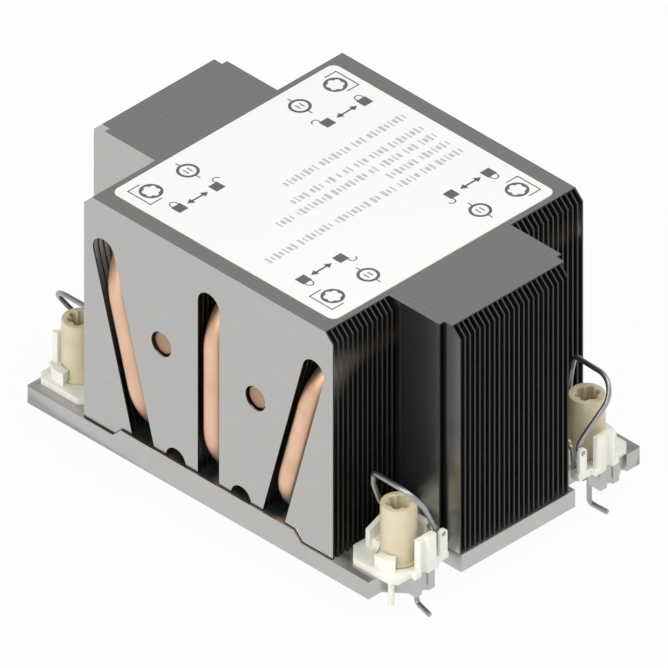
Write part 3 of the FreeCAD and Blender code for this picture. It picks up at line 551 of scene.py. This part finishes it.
@dataclass(frozen=True)
class PrintedFilm:
    """Matt polyester film or the ink on it: flat, even, with the faintest orange peel."""

    name: str
    colour: str
    roughness: float = 0.5
    peel: float = 0.8                # mm across a ripple of the film
    tones: tuple[float, float] = (0.985, 1.0)           # darkest and lightest ripple

    def build(self) -> bpy.types.Material:
        """Build the material of the label or its print.

        Returns:
            The finished material.
        """
        material, tree = new_material(self.name)
        ripples = add_node(tree, "ShaderNodeTexNoise",
                           {"Vector": object_point(tree), "Scale": 1 / self.peel,
                            "Detail": 2.0})
        tone = add_node(tree, "ShaderNodeMapRange",
                        {"Value": ripples.outputs["Fac"], "From Min": 0.3, "From Max": 0.7,
                         "To Min": self.tones[0], "To Max": self.tones[1]})
        colour = add_node(tree, "ShaderNodeVectorMath",
                          {0: linear(self.colour)[:3], "Scale": tone.outputs["Result"]},
                          operation="SCALE")
        bump = add_node(tree, "ShaderNodeBump", {"Height": ripples.outputs["Fac"],
                                                 "Strength": 0.04, "Distance": 0.01 * MM})
        shader = add_node(tree, "ShaderNodeBsdfPrincipled",
                          {"Base Color": colour.outputs[0], "Roughness": self.roughness,
                           "Specular IOR Level": 0.3, "Normal": bump.outputs["Normal"]})
        add_node(tree, "ShaderNodeOutputMaterial", {"Surface": shader.outputs[0]})
        return material


# --- Sub-assemblies -----------------------------------------------------------------------------

class Corner(Enum):
    """Corners of the heatsink: the sides of X and Y that each one is on."""

    RIGHT_REAR = (1, 1)
    RIGHT_FRONT = (1, -1)
    LEFT_REAR = (-1, 1)
    LEFT_FRONT = (-1, -1)

    @property
    def label(self) -> str:
        """Name of the corner as the CAD nodes spell it."""
        return self.name.lower()

    def place(self, x: float, y: float) -> tuple[float, float]:
        """Point of the right rear corner, carried to this one."""
        return self.value[0] * x, self.value[1] * y


@dataclass
class FinStack:
    """Stack of folded aluminium sheets; the CAD sheets keep their shape."""

    finish: StampedAluminium = field(default_factory=StampedAluminium)

    def dress(self) -> None:
        """Give every sheet the stamped finish."""
        names = [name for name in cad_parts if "fin" in name.split("_") or "fins" in name]
        front = min(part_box(name)[0].y for name in names) / MM
        material = self.finish.build(front)
        for name in names:
            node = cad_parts[name]
            node.data.materials.clear()
            node.data.materials.append(material)
        log.info("fin stack: %d nodes", len(names))


@dataclass
class ShadowLineBeads:
    """Nearly black beads along the feet of the outermost sheets, over the plateau and its ramps:
    painted shadow of the line where the sheets meet the plate.

    Lengths are in millimetres. A bead stops at each opening of its sheet.
    """

    finish: ShadowLineFinish = field(default_factory=ShadowLineFinish)
    height: float = 0.25
    depth: float = 0.1
    base_top: float = 4.5
    plateau_reach: float = 26.5
    plateau_foot: float = 28.9
    tall_pipes: tuple[float, ...] = (-20.0, 0.0, 20.0)
    low_pipes: tuple[float, ...] = (-10.0, 10.0)
    riser_opening: float = 3.3
    leg_opening: float = 3.07

    def build(self) -> None:
        """Lay both beads."""
        low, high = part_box("front_slotted_fins")
        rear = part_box("rear_slotted_fins")[1].y / MM
        reach = high.x / MM
        mesh = bmesh.new()
        for face, outward, risers, legs in (
                (low.y / MM, -1, self.tall_pipes, self.low_pipes),
                (rear, 1, self.low_pipes, self.tall_pipes)):
            openings = {**dict.fromkeys(risers, self.riser_opening),
                        **dict.fromkeys(legs, self.leg_opening)}
            for start, end in self.runs(reach, openings):
                self.lay(mesh, start, end, face, outward)
        bmesh.ops.recalc_face_normals(mesh, faces=mesh.faces)
        bmesh.ops.transform(mesh, matrix=Matrix.Scale(MM, 4), verts=mesh.verts)
        # painted shadow: a dark bead laid where the sheets meet the plate
        finish_piece("shadow_line_beads", mesh, "heatsink", self.finish.build())

    def runs(self, reach: float, openings: dict[float, float]) -> list[tuple[float, float]]:
        """Split the foot of a sheet at its openings.

        Args:
            reach: X of the sheet's end.
            openings: half width of the opening at each pipe's X.

        Returns:
            The start and end of each run along X.
        """
        stops = [-reach]
        for centre, half in sorted(openings.items()):
            stops += [centre - half, centre + half]
        stops.append(reach)
        return list(zip(stops[::2], stops[1::2]))

    def lay(self, mesh: bmesh.types.BMesh, start: float, end: float, face: float,
            outward: int) -> None:
        """Lay one run of a bead along the foot of a sheet.

        Args:
            mesh: beads being built.
            start: X of its start.
            end: X of its end.
            face: Y of the face of the sheet.
            outward: side of the sheet that the bead is on.
        """
        corners = [x for x in (-self.plateau_foot, -self.plateau_reach, self.plateau_reach,
                               self.plateau_foot) if start < x < end]
        foot = [mesh.verts.new((x, face, self.level(x))) for x in (start, *corners, end)]
        edges = [mesh.edges.new(pair) for pair in zip(foot, foot[1:])]
        strip = bmesh.ops.extrude_edge_only(mesh, edges=edges)["geom"]
        top = [item for item in strip if isinstance(item, bmesh.types.BMVert)]
        bmesh.ops.translate(mesh, vec=(0, 0, self.height), verts=top)
        faces = [item for item in strip if isinstance(item, bmesh.types.BMFace)]
        block = bmesh.ops.extrude_face_region(mesh, geom=faces, use_keep_orig=True)["geom"]
        front = [item for item in block if isinstance(item, bmesh.types.BMVert)]
        bmesh.ops.translate(mesh, vec=(0, outward * self.depth, 0), verts=front)

    def level(self, x: float) -> float:
        """Height of the plate's top at a place along X.

        Args:
            x: place along X.

        Returns:
            Z of the plateau, of its ramp or of the plate beside them.
        """
        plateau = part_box("base_plate")[1].z / MM
        climb = (self.plateau_foot - abs(x)) / (self.plateau_foot - self.plateau_reach)
        return self.base_top + max(0.0, min(1.0, climb)) * (plateau - self.base_top)


@dataclass
class BasePlate:
    """Base plate with its raised middle, its edges broken by deburring."""

    edge_break: float = 0.14
    finish: MilledAluminium = field(default_factory=MilledAluminium)

    def build(self) -> None:
        """Build the plate from the CAD shape, with broken edges."""
        mesh = merged_copy("base_plate")
        round_edges(mesh, self.edge_break)
        finish_piece("milled_base_plate", mesh, "heatsink",
                     self.finish.build(), ("base_plate",))


class Rising(Enum):
    """Side on which a pipe's riser stands."""

    FRONT = -1
    REAR = 1


@dataclass
class HeatPipe:
    """U-shaped pipe: a lower leg in the plateau, a riser, and an upper leg through the fins.

    Lengths are in millimetres and the lean is in degrees, to the right when positive. The
    lower end lies further in than the CAD pipe's, and the upper end further out.
    """

    node: str
    rising: Rising
    lower_x: float
    rise: float
    bend: float
    lean: float
    radius: float = 3.0
    end_round: float = 0.8
    lower_end_back: float = 2.8
    upper_end_out: float = 0.5
    sides: int = 40
    bend_steps: int = 14

    def build(self, material: bpy.types.Material) -> None:
        """Build the pipe upright, lean it, and put it in place.

        Args:
            material: copper of the pipes.
        """
        low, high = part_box(self.node)
        side = self.rising.value
        riser = (low.y if side < 0 else high.y) / MM - side * self.radius
        far = (high.y if side < 0 else low.y) / MM
        start = far + side * self.lower_end_back
        turn = riser - side * self.bend
        mesh = bmesh.new()
        ring = bmesh.ops.create_circle(
            mesh, segments=self.sides, radius=self.radius,
            matrix=Matrix.Translation((0, start, 0)) @ Matrix.Rotation(math.pi / 2, 4, "X"))
        loop = list({edge for vert in ring["verts"] for edge in vert.link_edges})
        first = loop
        loop = self.extend(mesh, loop, (0, turn - start, 0))
        loop = self.turn(mesh, loop, (0, turn, self.bend), side)
        loop = self.extend(mesh, loop, (0, 0, self.rise - 2 * self.bend))
        loop = self.turn(mesh, loop, (0, turn, self.rise - self.bend), side)
        loop = self.extend(mesh, loop, (0, far - side * self.upper_end_out - turn, 0))
        bmesh.ops.holes_fill(mesh, edges=mesh.edges, sides=0)
        bmesh.ops.remove_doubles(mesh, verts=mesh.verts, dist=WELD)
        bmesh.ops.bevel(mesh, geom=[edge for edge in first + loop if edge.is_valid],
                        offset=self.end_round, segments=4, profile=0.5, affect="EDGES",
                        material=-1)
        bmesh.ops.recalc_face_normals(mesh, faces=mesh.faces)
        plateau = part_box("base_plate")[1].z / MM
        place = (Matrix.Scale(MM, 4) @ Matrix.Translation((self.lower_x, 0, plateau))
                 @ Matrix.Rotation(math.radians(self.lean), 4, "Y"))
        bmesh.ops.transform(mesh, matrix=place, verts=mesh.verts)
        finish_piece(f"{self.node}_tube", mesh, "heatsink", material, (self.node,))

    def extend(self, mesh: bmesh.types.BMesh, loop: list[bmesh.types.BMEdge],
               step: tuple[float, float, float]) -> list[bmesh.types.BMEdge]:
        """Draw the open end of the tube out in a straight run.

        Args:
            mesh: tube being built.
            loop: edges of its open end.
            step: run of the tube.

        Returns:
            The edges of the new open end.
        """
        drawn = bmesh.ops.extrude_edge_only(mesh, edges=loop)["geom"]
        ends = [item for item in drawn if isinstance(item, bmesh.types.BMVert)]
        bmesh.ops.translate(mesh, vec=step, verts=ends)
        return [item for item in drawn if isinstance(item, bmesh.types.BMEdge)
                and all(vert in ends for vert in item.verts)]

    def turn(self, mesh: bmesh.types.BMesh, loop: list[bmesh.types.BMEdge],
             centre: tuple[float, float, float], side: int) -> list[bmesh.types.BMEdge]:
        """Bend the open end of the tube through a right angle.

        Args:
            mesh: tube being built.
            loop: edges of its open end.
            centre: centre of the bend.
            side: side of the riser, which gives the way round.

        Returns:
            The edges of the new open end.
        """
        verts = list({vert for edge in loop for vert in edge.verts})
        swept = bmesh.ops.spin(mesh, geom=verts + loop, cent=centre, axis=(1, 0, 0),
                               angle=side * math.pi / 2, steps=self.bend_steps,
                               use_merge=False)
        return [item for item in swept["geom_last"] if isinstance(item, bmesh.types.BMEdge)]


@dataclass
class HeatPipes:
    """Three tall pipes that rise at the front and two low ones that rise at the rear."""

    finish: DrawnCopper = field(default_factory=DrawnCopper)
    spacing: float = 10.0
    tall_rise: float = 46.0
    tall_bend: float = 12.5
    tall_lean: float = 15.38
    low_rise: float = 29.0
    low_bend: float = 10.5
    low_lean: float = 8.8

    def build(self) -> None:
        """Build the five pipes."""
        copper = self.finish.build()
        tall = {"left": -1, "middle": 0, "right": 1}
        for name, hand in tall.items():
            HeatPipe(f"heat_pipe_{name}", Rising.FRONT, 2 * hand * self.spacing, self.tall_rise,
                     self.tall_bend, hand * self.tall_lean).build(copper)
        for name, hand in (("left", -1), ("right", 1)):
            HeatPipe(f"low_heat_pipe_{name}", Rising.REAR, hand * self.spacing, self.low_rise,
                     self.low_bend, hand * self.low_lean).build(copper)


@dataclass
class CaptiveNut:
    """Moulded nut: a flange, a round body, a bore from below and a six-lobe socket on top.

    Lengths are in millimetres.
    """

    corner: Corner
    radius: float = 4.1
    flange_radius: float = 4.7
    flange_height: float = 1.0
    bore_radius: float = 2.0
    bore_depth: float = 8.55
    edge: float = 0.16
    rim: float = 0.35
    rim_shoulder: float = 0.3
    core: float = 2.0
    lobe: float = 0.78
    lobe_softness: float = 0.7
    lead_in: float = 0.25
    socket_depth: float = 5.5
    level_room: float = 0.01         # how far from a level a point may be and still count
    steps: int = 72

    def build(self, material: bpy.types.Material) -> None:
        """Turn the outside, then sink the socket and the bore.

        Args:
            material: moulded plastic of the nuts.
        """
        node = f"nut_{self.corner.label}"
        low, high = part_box(node)
        bottom, top = low.z / MM, high.z / MM
        flange_top = bottom + self.flange_height
        edge, shoulder = self.edge, self.rim_shoulder * self.rim
        profile = [(self.bore_radius, bottom), (self.flange_radius - edge, bottom),
                   (self.flange_radius, bottom + edge), (self.flange_radius, flange_top - edge),
                   (self.flange_radius - edge, flange_top), (self.radius + edge, flange_top),
                   (self.radius, flange_top + edge), (self.radius, top - self.rim),
                   (self.radius - shoulder, top - shoulder),
                   (self.radius - self.rim, top)]
        mesh = bmesh.new()
        chain = [mesh.verts.new((radius, 0, height)) for radius, height in profile]
        edges = [mesh.edges.new(pair) for pair in zip(chain, chain[1:])]
        bmesh.ops.spin(mesh, geom=chain + edges, cent=(0, 0, 0), axis=(0, 0, 1),
                       angle=2 * math.pi, steps=self.steps, use_merge=True)
        bmesh.ops.remove_doubles(mesh, verts=mesh.verts, dist=WELD)
        self.sink(mesh, bottom, [(self.bore_radius, 0.0, bottom + self.bore_depth)])
        self.sink(mesh, top, [(self.core + self.lead_in, self.lobe, top),
                              (self.core, self.lobe, top - self.lead_in),
                              (self.core, self.lobe, top - self.socket_depth)])
        bmesh.ops.holes_fill(mesh, edges=mesh.edges, sides=0)
        bmesh.ops.recalc_face_normals(mesh, faces=mesh.faces)
        centre = (low + high) / 2 / MM
        place = Matrix.Scale(MM, 4) @ Matrix.Translation((centre.x, centre.y, 0))
        bmesh.ops.transform(mesh, matrix=place, verts=mesh.verts)
        finish_piece(f"moulded_nut_{self.corner.label}", mesh, node, material,
                     (node,))

    def sink(self, mesh: bmesh.types.BMesh, level: float,
             rings: list[tuple[float, float, float]]) -> None:
        """Draw the open rim at a level inward and down through rings of six lobes.

        Args:
            mesh: nut being built, about its own axis.
            level: height of the open rim.
            rings: for each ring its core radius, lobe depth and height.
        """
        loop = [edge for edge in mesh.edges if edge.is_boundary
                and all(abs(vert.co.z - level) < self.level_room for vert in edge.verts)]
        for core, lobe, height in rings:
            drawn = bmesh.ops.extrude_edge_only(mesh, edges=loop)["geom"]
            ends = [item for item in drawn if isinstance(item, bmesh.types.BMVert)]
            for vert in ends:
                angle = math.atan2(vert.co.y, vert.co.x)
                reach = core + lobe * abs(math.cos(3 * angle)) ** self.lobe_softness
                vert.co = Vector((reach * math.cos(angle), reach * math.sin(angle), height))
            loop = [item for item in drawn if isinstance(item, bmesh.types.BMEdge)
                    and all(vert in ends for vert in item.verts)]


@dataclass
class Retainer:
    """Moulded retainer that clips to the plate and carries the nut and the wire."""

    corner: Corner
    edge_round: float = 0.15

    def build(self, material: bpy.types.Material) -> None:
        """Build the retainer from the CAD shape, with moulded edges.

        Args:
            material: moulded plastic of the retainers.
        """
        node = f"retainer_{self.corner.label}"
        mesh = merged_copy(node)
        round_edges(mesh, self.edge_round)
        finish_piece(f"moulded_{node}", mesh, "heatsink", material, (node,))


@dataclass
class AntiTiltWire:
    """Bent wire: a hoop over the nut and a foot under the plate."""

    corner: Corner
    sharp_angle: float = 60.0        # degrees, above which an edge stays crisp

    def build(self, material: bpy.types.Material) -> None:
        """Build the wire from the CAD shape, smooth along its bends.

        Args:
            material: plated steel of the wires.
        """
        node = f"anti_tilt_wire_{self.corner.label}"
        mesh = merged_copy(node)
        finish_piece(f"bent_wire_{self.corner.label}", mesh, node, material,
                     (node,), sharp=self.sharp_angle)


@dataclass
class TopLabel:
    """Square label on the fins, with icons of nuts, wires and locks, and rows of plain blocks.

    Lengths are in millimetres; an icon's place is that of the right rear corner. A row has the
    X that it lies at, the Y that it starts from, and the number of blocks in each word.
    """

    film: PrintedFilm = field(default_factory=lambda: PrintedFilm("matt_polyester_film",
                                                                  "#F7F7F5"))
    ink: PrintedFilm = field(default_factory=lambda: PrintedFilm("grey_screen_ink", "#666666"))
    pale_ink: PrintedFilm = field(default_factory=lambda: PrintedFilm("pale_grey_screen_ink",
                                                                      "#C4C4C4"))
    corner_radius: float = 2.0
    corner_steps: int = 8
    shift: tuple[float, float] = (-0.3, 0.45)
    lift: float = 0.015
    nut_icon: tuple[float, float] = (27.9, 28.3)
    wire_icon: tuple[float, float] = (27.7, 17.2)
    closed_lock: tuple[float, float] = (19.0, 28.4)
    open_lock: tuple[float, float] = (19.0, 17.0)
    arrow: tuple[float, float] = (19.0, 22.9)
    nut_ring: tuple[float, float] = (1.8, 2.7)
    socket_core: float = 1.6
    socket_lobe: float = 0.5
    bracket_reach: float = 3.65
    bracket_arm: float = 3.5
    wire_ring: tuple[float, float] = (1.9, 2.6)
    ear: float = 1.2
    stroke: float = 1.8
    stroke_reach: float = 0.6
    lock_size: float = 2.7
    shackle: tuple[float, float] = (0.75, 1.05)
    shackle_leg: float = 0.5
    arrow_shaft: tuple[float, float] = (0.5, 3.6)
    arrow_head: float = 1.1
    arrow_reach: float = 2.1
    line: float = 0.32
    ring_steps: int = 48
    word_rows: tuple[tuple[float, float, tuple[int, ...]], ...] = (
        (-9.0, 30.3, (9, 3, 7, 8)),
        (-3.2, 29.9, (8, 4, 3, 2, 1, 2, 3, 4)),
        (0.7, 30.0, (4, 3, 5, 2, 8, 8, 4)),
        (4.7, 30.0, (7, 7)),
        (8.7, 30.0, (6, 3, 5, 3, 2, 8, 8, 7)),
    )
    letter_pitch: float = 1.3
    letter_heights: tuple[float, ...] = (1.65, 2.25)
    letter_widths: tuple[float, ...] = (0.42, 0.64, 0.86)
    word_space: float = 0.78
    level: float = field(init=False)

    def __post_init__(self) -> None:
        """Find the height of the print, just above the film."""
        self.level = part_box("top_label")[1].z / MM + self.lift

    def build(self) -> None:
        """Build the film and both inks."""
        finish_piece("label_film", self.cut_film(), "heatsink",
                     self.film.build(), ("top_label",))
        icons = bmesh.new()
        for corner in Corner:
            self.add_icons(icons, corner)
        self.print_on("label_icons", icons, self.ink)
        words = bmesh.new()
        for row in self.word_rows:
            self.add_words(words, *row)
        self.print_on("label_words", words, self.pale_ink)

    def cut_film(self) -> bmesh.types.BMesh:
        """Cut the film to the size of its CAD node, with rounded corners.

        Returns:
            The film, in metres and in place.
        """
        low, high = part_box("top_label")
        size = high - low
        place = Matrix.Translation((low + high) / 2) @ Matrix.Diagonal((*size, 1))
        mesh = bmesh.new()
        bmesh.ops.create_cube(mesh, size=1.0, matrix=place)
        upright = [edge for edge in mesh.edges
                   if abs(edge.verts[0].co.z - edge.verts[1].co.z) > size.z / 2]
        bmesh.ops.bevel(mesh, geom=upright, offset=self.corner_radius * MM,
                        segments=self.corner_steps, profile=0.5, affect="EDGES", material=-1)
        return mesh

    def print_on(self, name: str, mesh: bmesh.types.BMesh, ink: PrintedFilm) -> None:
        """Lay a flat print on the film.

        Args:
            name: name of the piece.
            mesh: flat shape in millimetres, at a height of 0.
            ink: finish of the print.
        """
        for face in mesh.faces:
            face.normal_update()
            if face.normal.z < 0:
                face.normal_flip()
        place = Matrix.Scale(MM, 4) @ Matrix.Translation((*self.shift, self.level))
        bmesh.ops.transform(mesh, matrix=place, verts=mesh.verts)
        finish_piece(name, mesh, "heatsink", ink.build())

    def add_icons(self, mesh: bmesh.types.BMesh, corner: Corner) -> None:
        """Draw the nut, wire and lock icons of one corner.

        Args:
            mesh: print being built.
            corner: corner that the icons belong to.
        """
        self.add_nut_icon(mesh, corner)
        self.add_wire_icon(mesh, corner)
        self.add_lock(mesh, corner, self.closed_lock)
        self.add_lock(mesh, corner, self.open_lock, swung=True)
        self.add_arrow(mesh, corner)

    def add_nut_icon(self, mesh: bmesh.types.BMesh, corner: Corner) -> None:
        """Draw a nut from above: a ring with a lobed socket, in a bracket.

        Args:
            mesh: print being built.
            corner: corner that the icon belongs to.
        """
        x, y = self.nut_icon
        centre = Vector((*corner.place(x, y), 0))
        inner, outer = self.nut_ring
        for vert in self.add_arc(mesh, corner.place(x, y), inner, outer, 0.0, 360.0):
            spoke = vert.co - centre
            if spoke.length < (inner + outer) / 2:
                angle = math.atan2(spoke.y, spoke.x)
                reach = self.socket_core + self.socket_lobe * abs(math.cos(3 * angle))
                vert.co = centre + spoke.normalized() * reach
        reach, arm = self.bracket_reach, self.bracket_arm
        self.add_bar(mesh, corner.place(x, y + reach), (2 * reach, self.line))
        for end in (-1, 1):
            self.add_bar(mesh, corner.place(x + end * (reach - self.line / 2),
                                            y + reach - arm / 2), (self.line, arm))

    def add_wire_icon(self, mesh: bmesh.types.BMesh, corner: Corner) -> None:
        """Draw a wire's hoop from above: a ring with ears and two short strokes.

        Args:
            mesh: print being built.
            corner: corner that the icon belongs to.
        """
        x, y = self.wire_icon
        inner, outer = self.wire_ring
        self.add_arc(mesh, corner.place(x, y), inner, outer, 0.0, 360.0)
        for end in (-1, 1):
            self.add_bar(mesh, corner.place(x + end * (outer + self.ear / 2), y),
                         (self.ear, self.line))
            self.add_bar(mesh, corner.place(x, y + end * self.stroke_reach),
                         (self.stroke, self.line))

    def add_lock(self, mesh: bmesh.types.BMesh, corner: Corner, middle: tuple[float, float],
                 swung: bool = False) -> None:
        """Draw a padlock.

        Args:
            mesh: print being built.
            corner: corner that the icon belongs to.
            middle: middle of its body, for the right rear corner.
            swung: whether the shackle is swung open.
        """
        side_x = corner.value[0]
        x, y = middle
        inner, outer = self.shackle
        leg = self.shackle_leg
        radius = (inner + outer) / 2
        foot = x + self.lock_size / 2 + leg / 2
        self.add_bar(mesh, corner.place(x, y), (self.lock_size, self.lock_size))
        swing = -2 * radius if swung else 0.0
        start = -90.0 if side_x > 0 else 90.0
        self.add_arc(mesh, corner.place(foot + leg / 2, y + swing), inner, outer, start, 180.0)
        for end in (radius,) if swung else (-radius, radius):
            self.add_bar(mesh, corner.place(foot, y + swing + end), (leg, outer - inner))

    def add_arrow(self, mesh: bmesh.types.BMesh, corner: Corner) -> None:
        """Draw the two-headed arrow between the locks.

        Args:
            mesh: print being built.
            corner: corner that the icon belongs to.
        """
        side_y = corner.value[1]
        x, y = self.arrow
        self.add_bar(mesh, corner.place(x, y), self.arrow_shaft)
        for end in (-1, 1):
            head = bmesh.ops.create_circle(mesh, segments=3, radius=self.arrow_head,
                                           cap_ends=True)["verts"]
            turn = Matrix.Rotation(0.0 if end * side_y > 0 else math.pi, 4, "Z")
            spot = corner.place(x, y + end * self.arrow_reach)
            bmesh.ops.transform(mesh, matrix=Matrix.Translation((*spot, 0)) @ turn, verts=head)

    def add_bar(self, mesh: bmesh.types.BMesh, centre: tuple[float, float],
                size: tuple[float, float]) -> None:
        """Draw a filled rectangle.

        Args:
            mesh: print being built.
            centre: middle of the rectangle.
            size: its width along X and along Y.
        """
        place = Matrix.Translation((*centre, 0)) @ Matrix.Diagonal((*size, 1, 1))
        bmesh.ops.create_grid(mesh, x_segments=1, y_segments=1, size=0.5, matrix=place)

    def add_arc(self, mesh: bmesh.types.BMesh, centre: tuple[float, float], inner: float,
                outer: float, start: float, sweep: float) -> list[bmesh.types.BMVert]:
        """Draw a band along an arc.

        Args:
            mesh: print being built.
            centre: centre of the arc.
            inner: inner radius.
            outer: outer radius.
            start: angle at which it starts, in degrees.
            sweep: angle that it covers, in degrees.

        Returns:
            The vertices of the band.
        """
        known = set(mesh.verts)
        angle = math.radians(start)
        ends = [mesh.verts.new((centre[0] + reach * math.cos(angle),
                                centre[1] + reach * math.sin(angle), 0))
                for reach in (inner, outer)]
        edge = mesh.edges.new(ends)
        whole = sweep >= 360.0
        bmesh.ops.spin(mesh, geom=[*ends, edge], cent=(*centre, 0), axis=(0, 0, 1),
                       angle=math.radians(sweep), steps=self.ring_steps, use_merge=whole)
        return [vert for vert in mesh.verts if vert not in known]

    def add_words(self, mesh: bmesh.types.BMesh, x: float, start: float,
                  words: tuple[int, ...]) -> None:
        """Draw a row of words as plain blocks that spell nothing.

        Args:
            mesh: print being built.
            x: X that the row lies at.
            start: Y at which the row starts; it runs towards the front.
            words: number of blocks in each word.
        """
        place = start
        for number, letters in enumerate(words):
            for letter in range(letters):
                tall = self.letter_heights[(letter + number) % len(self.letter_heights)]
                wide = self.letter_widths[(letter + number) % len(self.letter_widths)]
                self.add_bar(mesh, (x, place), (tall, wide))
                place -= self.letter_pitch
            place -= self.word_space


# --- Studio -------------------------------------------------------------------------------------

@dataclass
class Studio:
    """White table, soft lamps, a room that darkens upwards, and a camera without perspective.

    The camera's lengths are in millimetres, and the lamps' places and sizes in metres.
    """

    aim: tuple[float, float, float] = (0.06, 0.06, 26.3)
    azimuth: float = 45.0
    elevation: float = 35.264
    view_width: float = 145.06
    distance: float = 600.0
    horizon: str = "#F4F4F4"
    ceiling: str = "#A6A6A6"
    room_fade: tuple[float, float] = (0.15, 0.5)        # height of the view, wall to ceiling
    laminate: str = "#F2F2F2"
    table_share: float = 0.95
    key_place: tuple[float, float, float] = (0.15, -0.8, 0.6)
    key_size: tuple[float, float] = (0.7, 0.7)
    key_power: float = 5.1
    overhead_place: tuple[float, float, float] = (0.35, 0.2, 0.8)
    overhead_size: tuple[float, float] = (0.6, 0.6)
    overhead_power: float = 3.3
    foot_room: float = 0.05          # mm between the table and the feet of the wires
    table_reach: float = 3.0         # m from the middle of the table to its edge

    def build(self) -> None:
        """Build the camera, the table, the room and the lamps."""
        self.add_camera()
        self.add_table()
        self.light_room()
        self.add_lamp("key_softbox", self.key_place, self.key_size, self.key_power)
        self.add_lamp("overhead_softbox", self.overhead_place, self.overhead_size,
                      self.overhead_power)

    def add_camera(self) -> None:
        """Place the camera at its angle round the heatsink."""
        turn, climb = math.radians(self.azimuth), math.radians(self.elevation)
        back = Vector((math.sin(turn) * math.cos(climb), -math.cos(turn) * math.cos(climb),
                       math.sin(climb)))
        data = bpy.data.cameras.new("camera")
        data.type = "ORTHO"
        data.ortho_scale = self.view_width * MM
        data.clip_start, data.clip_end = 0.01, 10.0
        camera = bpy.data.objects.new("camera", data)
        camera.location = (Vector(self.aim) + back * self.distance) * MM
        camera.rotation_mode = "QUATERNION"
        camera.rotation_quaternion = (-back).to_track_quat("-Z", "Y")
        bpy.context.scene.collection.objects.link(camera)
        bpy.context.scene.camera = camera

    def add_table(self) -> None:
        """Lay the white table under the feet of the wires."""
        level = CAD_BOX[0].z - self.foot_room * MM
        mesh = bmesh.new()
        bmesh.ops.create_grid(mesh, x_segments=1, y_segments=1, size=self.table_reach,
                              matrix=Matrix.Translation((0, 0, level)))
        data = bpy.data.meshes.new("table")
        mesh.to_mesh(data)
        mesh.free()
        data.materials.append(self.table_material())
        table = bpy.data.objects.new("table", data)
        bpy.context.scene.collection.objects.link(table)

    def table_material(self) -> bpy.types.Material:
        """Build white laminate that a camera, metal and glass see as nearly plain white.

        Returns:
            The material of the table.
        """
        material, tree = new_material("white_laminate_table")
        path = add_node(tree, "ShaderNodeLightPath")
        seen = add_node(tree, "ShaderNodeMath", {0: path.outputs["Is Camera Ray"],
                                                 1: path.outputs["Is Glossy Ray"]},
                        operation="MAXIMUM")
        seen = add_node(tree, "ShaderNodeMath", {0: seen.outputs[0],
                                                 1: path.outputs["Is Transmission Ray"]},
                        operation="MAXIMUM")
        share = add_node(tree, "ShaderNodeMath", {0: seen.outputs[0],
                                                  1: self.table_share},
                         operation="MULTIPLY")
        plain = add_node(tree, "ShaderNodeBsdfDiffuse", {"Color": linear(self.laminate)})
        white = add_node(tree, "ShaderNodeEmission", {"Color": (1, 1, 1, 1), "Strength": 1.0})
        mixed = add_node(tree, "ShaderNodeMixShader", {0: share.outputs[0],
                                                       1: plain.outputs[0],
                                                       2: white.outputs[0]})
        add_node(tree, "ShaderNodeOutputMaterial", {"Surface": mixed.outputs[0]})
        return material

    def light_room(self) -> None:
        """Light the room: white walls at the horizon and a grey ceiling."""
        world = bpy.data.worlds.new("room")
        world.use_nodes = True
        tree = world.node_tree
        tree.nodes.clear()
        place = add_node(tree, "ShaderNodeTexCoord")
        point = add_node(tree, "ShaderNodeSeparateXYZ", {0: place.outputs["Generated"]})
        height = add_node(tree, "ShaderNodeMapRange",
                          {"Value": point.outputs["Z"], "From Min": self.room_fade[0],
                           "From Max": self.room_fade[1]})
        colour = add_node(tree, "ShaderNodeMix", {"Factor": height.outputs["Result"],
                                                  6: linear(self.horizon),
                                                  7: linear(self.ceiling)}, data_type="RGBA")
        light = add_node(tree, "ShaderNodeBackground", {"Color": colour.outputs[2],
                                                        "Strength": 1.0})
        add_node(tree, "ShaderNodeOutputWorld", {"Surface": light.outputs[0]})
        bpy.context.scene.world = world

    def add_lamp(self, name: str, place: tuple[float, float, float],
                 size: tuple[float, float], power: float) -> None:
        """Hang a softbox that faces the heatsink.

        Args:
            name: name of the lamp.
            place: its centre, in metres.
            size: its width and height, in metres.
            power: its power in watts.
        """
        data = bpy.data.lights.new(name, "AREA")
        data.shape = "RECTANGLE"
        data.size, data.size_y = size
        data.energy = power
        lamp = bpy.data.objects.new(name, data)
        lamp.location = place
        lamp.rotation_mode = "QUATERNION"
        lamp.rotation_quaternion = (-Vector(place)).to_track_quat("-Z", "Y")
        bpy.context.scene.collection.objects.link(lamp)


def main() -> None:
    """Build the studio and dress each sub-assembly in turn."""
    logging.basicConfig(level=logging.INFO, format="%(name)s: %(message)s")
    bpy.context.scene.view_settings.view_transform = "Standard"
    Studio().build()
    FinStack().dress()
    ShadowLineBeads().build()
    BasePlate().build()
    HeatPipes().build()
    nut_plastic = MouldedPlastic("moulded_glass_filled_nylon", "#DCCFB1", "#D3C6A6", 0.42).build()
    white_plastic = MouldedPlastic("moulded_white_polyester", "#F3F3E8", "#ECECDF", 0.38).build()
    steel = SpringSteel().build()
    for corner in Corner:
        CaptiveNut(corner).build(nut_plastic)
        Retainer(corner).build(white_plastic)
        AntiTiltWire(corner).build(steel)
    TopLabel().build()


if __name__ == "__main__":
    main()
